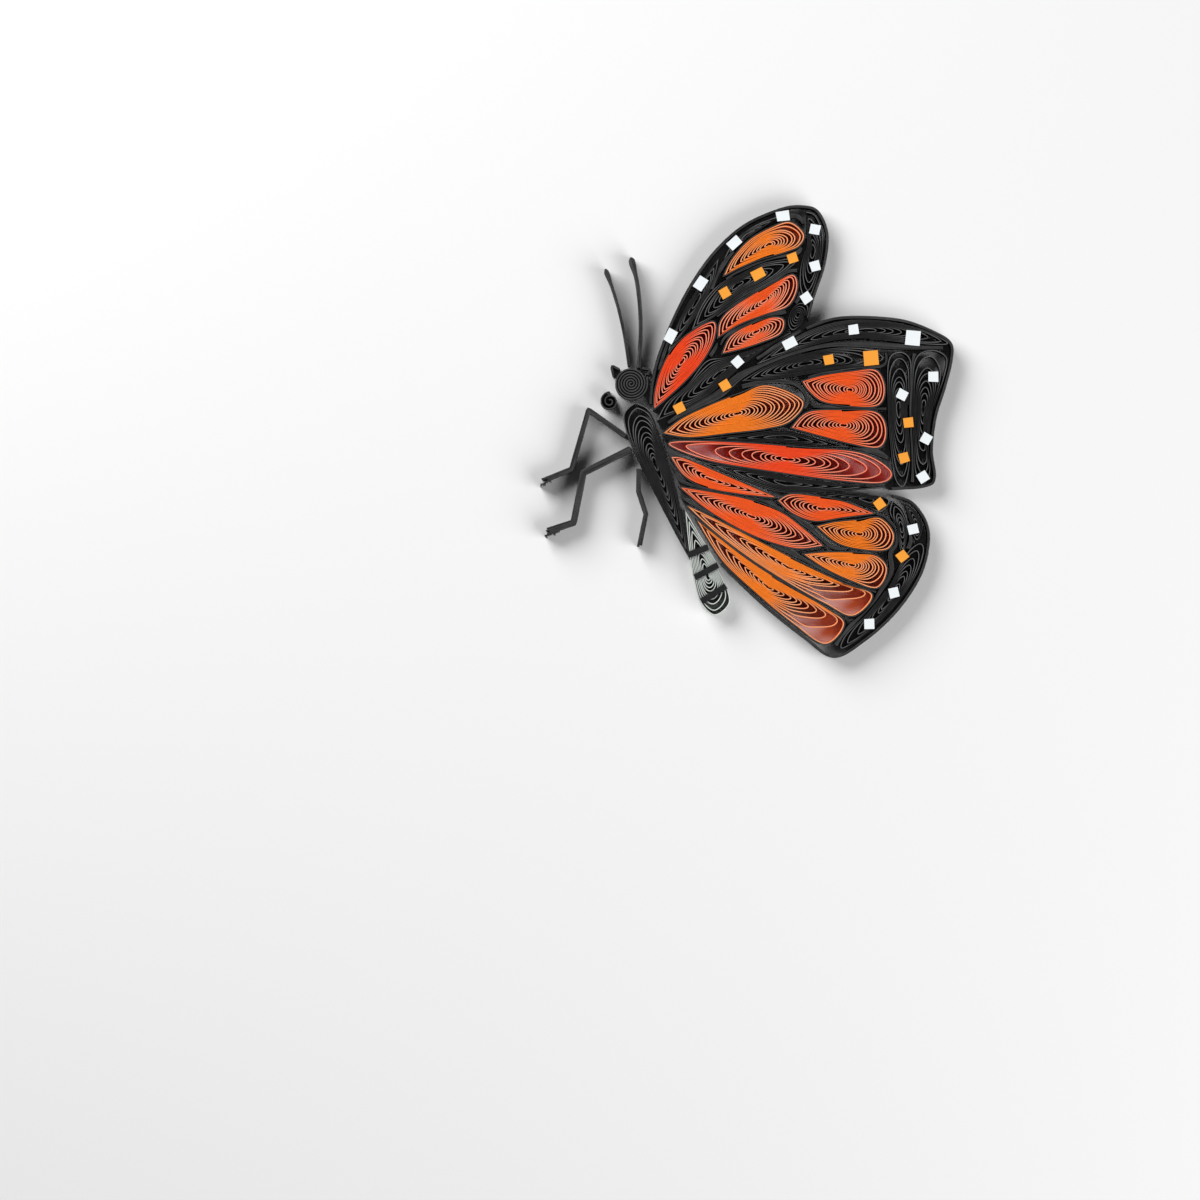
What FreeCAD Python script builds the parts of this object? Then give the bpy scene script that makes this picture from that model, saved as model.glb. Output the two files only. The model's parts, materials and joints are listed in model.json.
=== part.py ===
# Quilled paper butterfly, a flat figure glued up from strips of coloured paper on edge.
# Every cell of the wings is one strip rolled into a coil and pinched to its outline.
# The turns lie pressed together along the long sides and open towards the tips.
# The figure lies in XY with the strips standing up along Z.
# The origin is at the middle of its underside.
import FreeCAD, Part
import math
import os

doc = FreeCAD.newDocument("QuilledButterfly")

# Driving sizes, in millimetres unless the note says otherwise.
DRIVING_SIZES = [
    ("figure_width", 60.76, "from the front foot to the outer corner of the near forewing"),
    ("strip_height", 3.0, "width of the paper strips, which stand on edge"),
    ("paper_wall", 0.14, "one layer of strip around a coloured coil"),
    ("cell_margin", 0.2, "room kept around a coloured coil for its black strip"),
    ("wrap_clearance", 0.06, "between a coloured coil and the strip around it"),
    ("edging_wall", 0.4, "the glued layers of strip that edge a wing"),
    ("turn_gap", 0.08, "between pressed turns along the side of a coil"),
    ("coil_core", 0.28, "radius of the eye that a coil is rolled around"),
    ("tip_wall", 0.24, "a coil's wall where its turns open towards a tip"),
    ("head_diameter", 5.1, "the round coil of the head"),
    ("head_wall", 0.62, "wall of the head's coil"),
    ("seat_clearance", 0.04, "between pieces that are glued edge to edge"),
    ("proboscis_diameter", 2.75, "the rolled tongue"),
    ("proboscis_wall", 0.42, "strip layers of the tongue"),
    ("palp_length", 1.1, "the small point on the face"),
    ("palp_width", 0.95, "base of the small point on the face"),
    ("left_antenna_wall", 0.45, "stem of the left antenna"),
    ("left_antenna_club", 0.75, "club at the end of the left antenna"),
    ("right_antenna_wall", 0.62, "stem of the right antenna"),
    ("right_antenna_club", 1.0, "club at the end of the right antenna"),
    ("front_leg_wall", 0.74, "strip layers of the front leg"),
    ("middle_leg_wall", 1.0, "strip layers of the middle leg"),
    ("hind_leg_wall", 0.74, "strip layers of the hind leg"),
    ("square_thickness", 0.16, "paper of the squares and bands glued on top"),
    ("square_side", 1.45, "a small paper square"),
    ("long_square_length", 1.95, "the longer paper squares on the leading edge"),
    ("large_square_side", 2.2, "the largest paper squares"),
    ("band_width", 0.9, "a black band across the abdomen"),
]


def make_sheet():
    """Put the driving sizes into the document's spreadsheet, one named cell each."""
    cells = doc.addObject("Spreadsheet::Sheet", "Sheet")
    for row, (alias, value, note) in enumerate(DRIVING_SIZES, start=1):
        cells.set("A%d" % row, alias)
        cells.set("B%d" % row, str(value))
        cells.set("C%d" % row, note)
        cells.setAlias("B%d" % row, alias)
    doc.recompute()
    return cells


sheet = make_sheet()


def size(alias):
    """The value of one named cell of the sheet."""
    return float(sheet.get(alias))


# The layout is read off the photograph, in its pixels, and scaled to the figure's real width.
FIGURE_WIDTH_PX = 412.6
FIGURE_MIDDLE_PX = (746.5, 431.6)
MM_PER_PX = size("figure_width") / FIGURE_WIDTH_PX


def plan(point):
    """A place read off the photograph, in the part's own millimetres."""
    return ((point[0] - FIGURE_MIDDLE_PX[0]) * MM_PER_PX,
            (FIGURE_MIDDLE_PX[1] - point[1]) * MM_PER_PX)


def plans(points):
    return [plan(point) for point in points]


# Shape of a coil's turns
CAP_FULLNESS = 1.35      # half width of a turn's round end, against its pressed half width
CAP_SHARPNESS = 6        # how closely a turn keeps to its side before it rounds over
TIP_THINNING = 1.5       # how fast the wall thins where the turns spread apart
TIP_SWELL = 0.5          # how much fuller the outermost turns' ends are
TIP_SWELL_POWER = 8      # how few of the outermost turns that takes in
FIT_POWER = 4            # how soon the turns take on their outline's own shape
EVEN_SPREAD = 1.15       # how the turns of most coils open towards the tips
SCAN_STEPS = 60          # steps of the search for a turn's distance from the outline
HALVINGS = 12            # finer steps of that search
MITRE_LIMIT = 2.2        # longest tip of an offset outline, against the offset
EYE_SHARE = 0.3          # largest eye, against the half width of a thin coil
BENT_GAP = 1.8           # gap between the turns of a bent coil, against a straight one's
FACET_BOW = 0.16         # how far an outline's curve may bow past one flat facet

# Each coil: its inner tip, one side, its outer end, the other side, and its eye.
# A spread above 1 opens the turns more towards that tip.
FAR_FOREWING_COILS = {
    "far_tip_coil": dict(
        inner=(724.5, 275), side=[(733, 258.5), (750, 240), (772, 227.5), (790, 222.3)],
        outer=(803.6, 234), back=[(799, 245.5), (784, 252), (760, 258.8), (740, 267)],
        eye=(769, 244.5), turns=3),
    "far_root_coil": dict(
        inner=(654.5, 408), side=[(655.3, 392), (661.5, 370), (674, 347.5), (694, 330.5)],
        outer=(713.5, 322), back=[(714, 338), (704, 358), (687, 378.5), (668, 396.5)],
        eye=(682, 361), turns=4),
    "far_upper_coil": dict(
        inner=(718.5, 336.5), side=[(720.5, 322), (731, 309.5), (752, 295.5), (775, 283)],
        outer=(793, 275), back=[(797, 288), (788, 305.5), (765, 314), (740, 323.5)],
        eye=(765, 300), turns=3),
    "far_lower_coil": dict(
        inner=(723, 352.8), side=[(731, 336.5), (750, 325), (772, 317.8)],
        outer=(783.5, 320.5), back=[(780, 333.5), (760, 342.3), (740, 348.7)],
        eye=(757, 331), turns=3),
}

NEAR_FOREWING_COILS = {
    "near_large_coil": dict(
        inner=(664, 433), side=[(682, 419), (710, 405.5), (740, 393.8), (768, 385.6)],
        outer=(802.5, 401), back=[(790, 421), (765, 428.3), (730, 432.6), (690, 436.8)],
        eye=(738, 413), turns=4),
    "near_top_coil": dict(
        inner=(802.8, 381.5), side=[(822, 376), (852, 371.6), (876, 370.4)],
        outer=(884.6, 388), back=[(878, 405), (850, 405.8), (824, 401.5), (810.5, 392)],
        eye=(850, 390), turns=4),
    "near_middle_coil": dict(
        inner=(792, 427.5), side=[(808, 412.5), (840, 410.4), (876, 412.4)],
        outer=(886, 430), back=[(879, 447), (850, 443), (820, 435.2)],
        eye=(844, 425), turns=4),
    "near_long_coil": dict(
        inner=(671, 446), side=[(680, 441.3), (735, 442.6), (800, 447.5), (860, 453)],
        outer=(890.5, 470.5), back=[(882, 482.5), (840, 480.2), (780, 472), (710, 460.4)],
        eye=(787, 459), turns=3, spread=2.0),
}

HINDWING_COILS = {
    "hind_thin_coil": dict(
        inner=(671.3, 457), side=[(684, 458.5), (712, 470), (745, 484)],
        outer=(775.5, 497.2), back=[(742, 493.8), (705, 486.8), (684, 475)],
        eye=(709, 479), turns=3),
    "hind_large_coil": dict(
        inner=(681, 487.5), side=[(715, 493), (750, 500.2), (780, 511.8), (803, 528.5)],
        outer=(822.5, 545.5), back=[(797, 548), (765, 539.7), (735, 526), (705, 507.5)],
        eye=(751, 516), turns=4),
    "hind_upper_coil": dict(
        inner=(778.5, 500.5), side=[(790, 494.6), (812, 496), (842, 501.4)],
        outer=(873.5, 513.3), back=[(843, 517), (815, 520.6), (793, 513)],
        eye=(821, 508.5), turns=3),
    "hind_outer_coil": dict(
        inner=(817.5, 526.5), side=[(835, 522.4), (858, 520.2), (880, 518.4)],
        outer=(893.5, 534), back=[(887.5, 548.8), (864, 549.2), (838, 542.8)],
        eye=(860, 534), turns=3),
    "hind_middle_coil": dict(
        inner=(804.5, 554.3), side=[(826, 552.6), (856, 553), (877, 556.6)],
        outer=(886.8, 569.5), back=[(877, 587.6), (852, 580.5), (826, 568.5)],
        eye=(853, 565), turns=3),
    "hind_long_coil": dict(
        inner=(687.5, 506), side=[(712, 517.5), (755, 539.5), (800, 562.5), (842, 583)],
        outer=(872, 595), back=[(853, 615.5), (826, 603.6), (790, 583.5), (750, 558), (714, 530.5)],
        eye=(788, 567), turns=4, spread=1.5),
    "hind_inner_coil": dict(
        inner=(697.3, 520.5), side=[(714, 534.2), (750, 561.6), (790, 587.2), (826, 608.5)],
        outer=(844, 624), back=[(825, 643.8), (793.5, 623.4), (757.5, 593.7), (722.5, 560.2)],
        eye=(768, 587), turns=4, spread=1.5),
}

# The black coils fill the wings between the coloured cells.
# One that follows a wing's edge is bent to the arc through its two ends and its eye.
FAR_FOREWING_FILLERS = {
    "far_leading_filler": dict(
        inner=(668, 352), side=[(673.5, 334), (683, 312.5), (699, 284.5)],
        outer=(718.5, 258.5), back=[(713, 283), (699, 311), (682, 335)],
        eye=(697, 300), turns=2),
    "far_brow_filler": dict(
        inner=(724, 259), side=[(734, 242), (754, 226)],
        outer=(783, 214.5), back=[(757, 231.6), (738, 246.2)],
        eye=(746, 235.8), turns=1),
    "far_middle_filler": dict(
        inner=(692, 329.5), side=[(702, 305), (718, 285.5), (742, 272), (768, 262)],
        outer=(797, 260), back=[(772, 280.6), (748, 293.4), (727, 307.2), (712, 318.2)],
        eye=(738, 284), turns=2),
    "far_margin_filler": dict(
        inner=(806, 211.5), side=[(815.5, 215.5), (822.4, 232), (822.5, 252), (816, 282)],
        outer=(807, 300), back=[(800.5, 288), (800.5, 268), (805.5, 247), (807, 227)],
        eye=(813, 250), turns=2),
    "far_corner_filler": dict(
        inner=(800, 303), side=[(808, 307), (803.5, 321)],
        outer=(793, 330), back=[(788, 322), (792, 309.5)],
        eye=(798, 315), turns=2),
    "far_lower_filler": dict(
        inner=(657, 420.5), side=[(667, 402.5), (688, 384), (706, 361.5), (726, 357), (760, 346.8)],
        outer=(790, 333), back=[(762, 351.5), (738, 369.5), (715, 391), (688, 407)],
        eye=(719, 374), turns=2),
}

NEAR_FOREWING_FILLERS = {
    "near_leading_filler": dict(
        inner=(757, 364), side=[(782, 345.5), (812, 329.5), (845, 320.7), (880, 320.5), (920, 328.5)],
        outer=(948, 343.5), back=[(915, 343.5), (875, 339.8), (835, 340.5), (795, 350.5)],
        eye=(868, 330.4), turns=2, bent=True),
    "near_upper_filler": dict(
        inner=(742, 381), side=[(765, 367), (795, 355), (830, 348.3), (865, 348.8)],
        outer=(883.5, 358), back=[(866, 365.5), (835, 369.4), (805, 374.7), (774, 379)],
        eye=(806, 363), turns=2),
    "near_inner_margin_filler": dict(
        inner=(900, 352), side=[(910.5, 360), (910.5, 385), (908.3, 410), (910, 460)],
        outer=(904, 486), back=[(895, 478), (890.5, 445), (888, 410), (888.3, 362)],
        eye=(898.5, 408), turns=2),
    "near_outer_margin_filler": dict(
        inner=(930, 350), side=[(946.5, 357), (944, 378), (935, 405), (929, 440), (930, 472)],
        outer=(923, 484), back=[(915.5, 472), (913.5, 440), (912.5, 410), (914.5, 362)],
        eye=(923.5, 406), turns=2),
    "near_wedge_filler": dict(
        inner=(702, 438.8), side=[(740, 434.6), (772, 430.8), (792, 431.3), (822, 439.6)],
        outer=(850, 447.3), back=[(815, 446.2), (780, 443.7), (740, 441)],
        eye=(785, 437.3), turns=2),
    "near_lower_filler": dict(
        inner=(700, 461.7), side=[(740, 467.6), (790, 475.8), (840, 483.5)],
        outer=(885, 487.5), back=[(835, 491.3), (785, 492.5), (752, 483.5), (726, 472.5)],
        eye=(785, 483), turns=2),
}

HINDWING_FILLERS = {
    "hind_top_filler": dict(
        inner=(826, 496), side=[(845, 493.7), (870, 493.5)],
        outer=(889, 500), back=[(881, 511.5), (868, 507.3), (850, 501)],
        eye=(869, 500), turns=2),
    "hind_upper_margin_filler": dict(
        inner=(892.5, 500.5), side=[(903, 509.5), (908, 527)],
        outer=(903, 556), back=[(898.5, 541), (896, 526), (890, 512.5)],
        eye=(901.5, 528), turns=2, bent=True),
    "hind_outer_margin_filler": dict(
        inner=(900.5, 501.5), side=[(914, 509.5), (923, 525)],
        outer=(917, 540), back=[(911, 528), (906.5, 510)],
        eye=(916, 523), turns=2, bent=True),
    "hind_lower_margin_filler": dict(
        inner=(919, 543.5), side=[(923.8, 551), (915.5, 576), (894.5, 606.5), (867, 633)],
        outer=(842, 648.5), back=[(846, 634.5), (868, 612.5), (888, 586.5), (905, 556)],
        eye=(893, 594), turns=2, bent=True),
}

BODY_COILS = {
    "thorax_coil": dict(
        inner=(635, 402.2), side=[(650, 411), (660, 436), (672, 471), (682, 515)],
        outer=(690, 559.5), back=[(678, 538), (653, 490), (632, 447), (623.5, 416)],
        eye=(655, 463), turns=3, spread=1.3),
    "abdomen_coil": dict(
        inner=(685.5, 511), side=[(700, 535.5), (714, 558.5), (725, 582), (729.5, 603)],
        outer=(715, 615.2), back=[(701, 603), (694, 580), (689, 548)],
        eye=(708, 576), turns=3, spread=1.3),
}

# Coils whose far end is a sharp pinch as well as the near one
PINCHED_AT_BOTH_ENDS = ("hind_thin_coil", "hind_large_coil", "hind_upper_coil", "thorax_coil",
                        "far_leading_filler", "far_brow_filler", "near_wedge_filler", "near_lower_filler")
ROUND_AT_BOTH_ENDS = ("near_long_coil", "near_inner_margin_filler", "near_outer_margin_filler",
                      "hind_lower_margin_filler", "far_corner_filler")

# Outer face of the edging of each wing, from where it leaves the body to where it ends
FAR_FOREWING_EDGE = [(649, 404), (650.8, 384), (657, 357), (671, 321), (690, 284), (714, 250.5),
                     (744, 224), (780, 208), (803, 205.2), (819, 211), (828.5, 234),
                     (825.5, 265), (815, 297), (808.5, 322)]
NEAR_FOREWING_EDGE = [(806, 327), (833, 317.5), (866, 315.8), (905, 319.7), (937, 332),
                      (952, 343), (952.8, 360), (946, 388), (937, 417), (933, 450),
                      (936, 477), (927, 487), (890, 490)]
HINDWING_EDGE = [(893, 494.5), (912, 501), (926.5, 520), (930, 543), (921.5, 576), (898, 611.5),
                 (866, 641), (834, 658), (804, 638.8), (767, 609.4), (736, 580.5), (717, 561)]

# Strips packed between the cells: places along each, and its widths there, in the photograph's pixels
FAR_FOREWING_PACKING = {
    "brow": dict(
        line=[(712, 289), (717, 277), (722.2, 266), (730.2, 255.4), (734, 251.6)],
        widths=[2.4, 2.4, 4.4, 2.8, 1.6]),
    "crown": dict(
        line=[(777, 221.2), (787, 216.5), (798, 216.5), (803.6, 223.5)],
        widths=[1.6, 4.4, 4.4, 2.4]),
    "under_tip": dict(
        line=[(726, 278.8), (740, 270.8), (760, 262.4), (772, 258.7), (784, 255.8), (797, 252.8),
              (801.5, 247.5)],
        widths=[1.8, 2.4, 1.8, 1.4, 2.4, 4.6, 2.6]),
    "over_upper": dict(
        line=[(717, 316.5), (731, 306.4), (752, 292.6), (775, 280.1), (788, 271.6), (797, 270.4)],
        widths=[1.5, 1.8, 1.5, 1.7, 3.2, 3.4]),
    "over_lower": dict(
        line=[(720.5, 345), (724.5, 337.8), (732, 331.6), (745, 324.7), (765, 316.7), (779, 313.2),
              (786, 311.5)],
        widths=[1.5, 2.2, 2.8, 1.5, 1.1, 3.6, 3.6]),
    "root": dict(
        line=[(717.3, 343), (714.8, 349), (710.2, 356)],
        widths=[1.3, 3.4, 3.2]),
    "corner": dict(
        line=[(799.3, 291.5), (799, 297.5), (795.5, 303)],
        widths=[0.9, 3.6, 2.6]),
    "shoulder": dict(
        line=[(658.5, 370), (662.8, 357.5), (667.2, 344.5), (673, 329)],
        widths=[1.8, 3.2, 2.8, 1.6]),
}
NEAR_FOREWING_PACKING = {
    "leading": dict(
        line=[(668, 423), (680, 415), (700, 404.3), (720, 393.5), (740, 376), (765, 364),
              (795, 352.8), (830, 344.8), (865, 344.3), (890, 346), (915, 347.5), (943, 347.6)],
        widths=[2.8, 4.6, 6, 8.4, 7.2, 3.6, 3, 4.2, 6, 6, 4.2, 2.8]),
    "notch": dict(
        line=[(757, 358.8), (775, 347), (790, 337), (801, 330.5)],
        widths=[2.8, 4.2, 3.6, 2.8]),
    "round_large": dict(
        line=[(742, 386.5), (755, 383.5), (768, 381.7), (785, 381.5), (798, 385.5), (806, 394.5),
              (806.8, 404), (804.6, 408.4)],
        widths=[4, 4.6, 3, 4.2, 3.6, 3.4, 3, 1.6]),
    "between": dict(
        line=[(813, 406), (824, 406.3), (837, 407.5), (850, 408), (866, 408.7), (880, 408.8),
              (886.3, 409)],
        widths=[2.8, 4, 1.8, 0.7, 0.7, 2.2, 2.6]),
    "over_top": dict(
        line=[(886, 353), (886.2, 361.5), (880.5, 366.3), (866, 367.1), (852, 368.5), (835, 371.2),
              (822, 373.2), (808, 377)],
        widths=[2.2, 2.2, 2.6, 1.1, 1.2, 1.6, 1.6, 1.6]),
    "under_middle": dict(
        line=[(853, 448.3), (866, 450), (879, 453), (888, 458.5)],
        widths=[1.6, 3.6, 6, 3.2]),
    "margin": dict(
        line=[(914.5, 353.5), (912.5, 365), (911.6, 385), (910.4, 410), (911.6, 440), (912.8, 465),
              (912.5, 482)],
        widths=[3.6, 1.8, 1.4, 2, 1.8, 2, 3.2]),
}
HINDWING_PACKING = {
    "under_thin": dict(
        line=[(745, 497.1), (760, 499.9), (770, 502.6), (778, 507.3), (784.5, 511.3)],
        widths=[1.1, 2.2, 4, 3.2, 2]),
    "under_upper": dict(
        line=[(789, 514), (796, 518), (803, 522.8), (812, 530), (823, 540), (832, 546.6),
              (846, 549.2)],
        widths=[1.5, 3.2, 4.6, 3.8, 3, 4.2, 2.8]),
    "under_middle": dict(
        line=[(770, 544.2), (790, 552), (800, 557), (815, 565.8), (835, 576.3), (852, 584),
              (868, 589.4), (876, 592)],
        widths=[1.5, 4.6, 4, 3.2, 1.8, 1.2, 1, 2.4]),
    "margin": dict(
        line=[(876.5, 514.3), (883, 515.6), (889.3, 520.5), (895.7, 531), (896.3, 544.5),
              (890.5, 553.3), (891.8, 569), (888, 580), (880.5, 590.8), (873.3, 602.3),
              (866, 611.3), (857.3, 619.5), (850, 626.3), (842.6, 635.5), (835.5, 645)],
        widths=[1.5, 2.2, 2.6, 0.9, 3, 4.4, 4.6, 3.6, 4, 2, 1.4, 2.8, 3.6, 2.4, 4.4]),
    "outer": dict(
        line=[(909.4, 529.5), (910.8, 540), (908.2, 548.6)],
        widths=[1.1, 3.6, 4.2]),
    "root": dict(
        line=[(675, 469.5), (677.6, 475), (681, 481.2), (690, 484.6), (703, 488.5), (712, 490.6)],
        widths=[1.3, 2.8, 2.8, 3.2, 1.3, 1]),
    "side": dict(
        line=[(682.5, 497.5), (692, 503), (703, 509.8), (714, 515.8)],
        widths=[2.4, 3.6, 2.6, 1.1]),
    "thorax": dict(
        line=[(664.8, 441.5), (666.8, 448.6), (667.6, 452)],
        widths=[1.8, 2.6, 1.4]),
}

# Paper squares glued on top: place, turn in degrees and kind
SMALL, LONG, LARGE = "small", "long", "large"
FAR_FOREWING_WHITE = [((783, 216), 8, LONG), ((734.3, 242.8), 42, LONG), ((815, 229.5), -12, SMALL),
                      ((815, 266), 16, SMALL), ((806.5, 298), 35, SMALL), ((700.5, 283.5), 57, LONG),
                      ((670.5, 336), 63, LONG), ((737.5, 362), 42, SMALL)]
FAR_FOREWING_GOLD = [((792.5, 258), 20, SMALL), ((758, 274), 28, LONG), ((725, 292.6), 30, SMALL),
                     ((725, 385.5), 30, SMALL), ((679.5, 408), 28, SMALL)]
NEAR_FOREWING_WHITE = [((789.8, 343.3), 27, LONG), ((853.5, 329.5), 8, SMALL), ((913, 338), -5, LARGE),
                       ((933.5, 376.8), 0, SMALL), ((902, 394.8), -28, SMALL),
                       ((926.3, 438.8), -30, SMALL), ((923, 477), 32, SMALL)]
NEAR_FOREWING_GOLD = [((828.7, 359.7), 12, SMALL), ((870.8, 358), 5, LARGE),
                      ((908.5, 422.5), 6, SMALL), ((903.8, 457.8), 15, SMALL)]
HINDWING_WHITE = [((913, 529.3), 14, SMALL), ((894, 592.8), 14, SMALL), ((869.2, 624), 3, SMALL)]
HINDWING_GOLD = [((879.5, 504), 37, SMALL), ((902.3, 556.2), 38, SMALL)]

# Black bands across the abdomen, from edge to edge
ABDOMEN_BANDS = [((689.2, 554.7), (708.2, 547)), ((694.8, 577.5), (718, 565)),
                 ((701.5, 601.5), (726, 586))]

# Legs, from the thorax to the foot, and antennae, from the head to the club
FRONT_LEG = [(625.6, 436), (588.5, 409.8), (571.5, 469), (541, 481.3)]
MIDDLE_LEG = [(630.5, 449), (583.5, 472.5), (573.5, 522.5), (545, 532)]
HIND_LEG = [(639, 468.5), (638.5, 491), (646, 514), (638.5, 551)]
HEAD_SEAT = (631, 401)
LEFT_ANTENNA = [(629.2, 365), (624, 332), (617.5, 304), (610, 280), (605.8, 269.5)]
RIGHT_ANTENNA = [(639.5, 366), (641.5, 330), (640.5, 302), (637.3, 277), (632.3, 258)]
HEAD_FACETS = 14
HEAD_TURNS = 3
PROBOSCIS_TURNS = 1.7
PROBOSCIS_FACETS = 12
PROBOSCIS_DIRECTION = 220   # degrees round the head from +X
SCROLL_EYE = 1.05           # reach of the scroll's inner end, in walls
PALP_DIRECTION = 144
PALP_LEAN = 6
ANTENNA_SINK = 0.12         # how far a stem's round foot stands off the head, in walls
CLUB_TIP = (0.33, 0.55)     # length and wall of a club's rounded end, against the club
FOOT_SHARE = 0.85           # wall of a leg at its foot, against the rest


def signed_area(points):
    total = 0.0
    for (ax, ay), (bx, by) in zip(points, points[1:] + points[:1]):
        total += ax * by - bx * ay
    return total / 2


def offset_outline(points, distance):
    """Move a closed outline's corners outward by a distance, or inward where it is negative."""
    turn = 1 if signed_area(points) > 0 else -1
    moved = []
    for before, here, after in zip(points[-1:] + points[:-1], points, points[1:] + points[:1]):
        first = math.atan2(here[1] - before[1], here[0] - before[0]) - turn * math.pi / 2
        second = math.atan2(after[1] - here[1], after[0] - here[0]) - turn * math.pi / 2
        across = (math.cos(first) + math.cos(second), math.sin(first) + math.sin(second))
        length = math.hypot(*across)
        reach = min(2 / length, MITRE_LIMIT) if length > 1e-6 else MITRE_LIMIT
        moved.append((here[0] + distance * reach * across[0] / length,
                      here[1] + distance * reach * across[1] / length))
    return moved


def smooth_outline(points, corners):
    """A closed curve through the points, with a sharp corner at the numbered ones.

    A stretch that bows out further than the facet allows is cut in two.
    """
    count = len(points)
    curve = []
    for index in range(count):
        p0, p1 = points[index - 1], points[index]
        p2, p3 = points[(index + 1) % count], points[(index + 2) % count]
        if index in corners:
            p0 = p1
        if (index + 1) % count in corners:
            p3 = p2
        curve.append(p1)
        middle = tuple((9 * (b + c) - a - d) / 16 for a, b, c, d in zip(p0, p1, p2, p3))
        if distance_to_outline(middle, [p1, p2]) > FACET_BOW:
            curve.append(middle)
    return curve


def distance_to_outline(point, outline):
    """Shortest way from a point to the sides of a closed outline."""
    best = float("inf")
    for (ax, ay), (bx, by) in zip(outline, outline[1:] + outline[:1]):
        along = (bx - ax, by - ay)
        share = ((point[0] - ax) * along[0] + (point[1] - ay) * along[1])
        share = max(0.0, min(1.0, share / (along[0] ** 2 + along[1] ** 2)))
        best = min(best, math.hypot(point[0] - ax - share * along[0], point[1] - ay - share * along[1]))
    return best


def arc_through(first, middle, last):
    """Centre of the circle through three places."""
    (ax, ay), (bx, by), (cx, cy) = first, middle, last
    twice = 2 * (ax * (by - cy) + bx * (cy - ay) + cx * (ay - by))
    a2, b2, c2 = ax * ax + ay * ay, bx * bx + by * by, cx * cx + cy * cy
    return ((a2 * (by - cy) + b2 * (cy - ay) + c2 * (ay - by)) / twice,
            (a2 * (cx - bx) + b2 * (ax - cx) + c2 * (bx - ax)) / twice)


class StraightFrame:
    """Coordinates about a coil's eye."""

    def __init__(self, eye):
        self.eye = eye

    def inside(self, point):
        return (point[0] - self.eye[0], point[1] - self.eye[1])

    def outside(self, point):
        return (point[0] + self.eye[0], point[1] + self.eye[1])


class BentFrame:
    """Coordinates about the eye of a coil that is bent to an arc: along the arc and across it."""

    def __init__(self, eye, first, last):
        self.middle = arc_through(first, eye, last)
        self.radius = math.dist(self.middle, eye)
        self.start = math.atan2(eye[1] - self.middle[1], eye[0] - self.middle[0])

    def inside(self, point):
        angle = math.atan2(point[1] - self.middle[1], point[0] - self.middle[0]) - self.start
        angle = (angle + math.pi) % (2 * math.pi) - math.pi
        return (self.radius * angle, self.radius - math.dist(self.middle, point))

    def outside(self, point):
        angle = self.start + point[0] / self.radius
        reach = self.radius - point[1]
        return (self.middle[0] + reach * math.cos(angle), self.middle[1] + reach * math.sin(angle))


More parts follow.
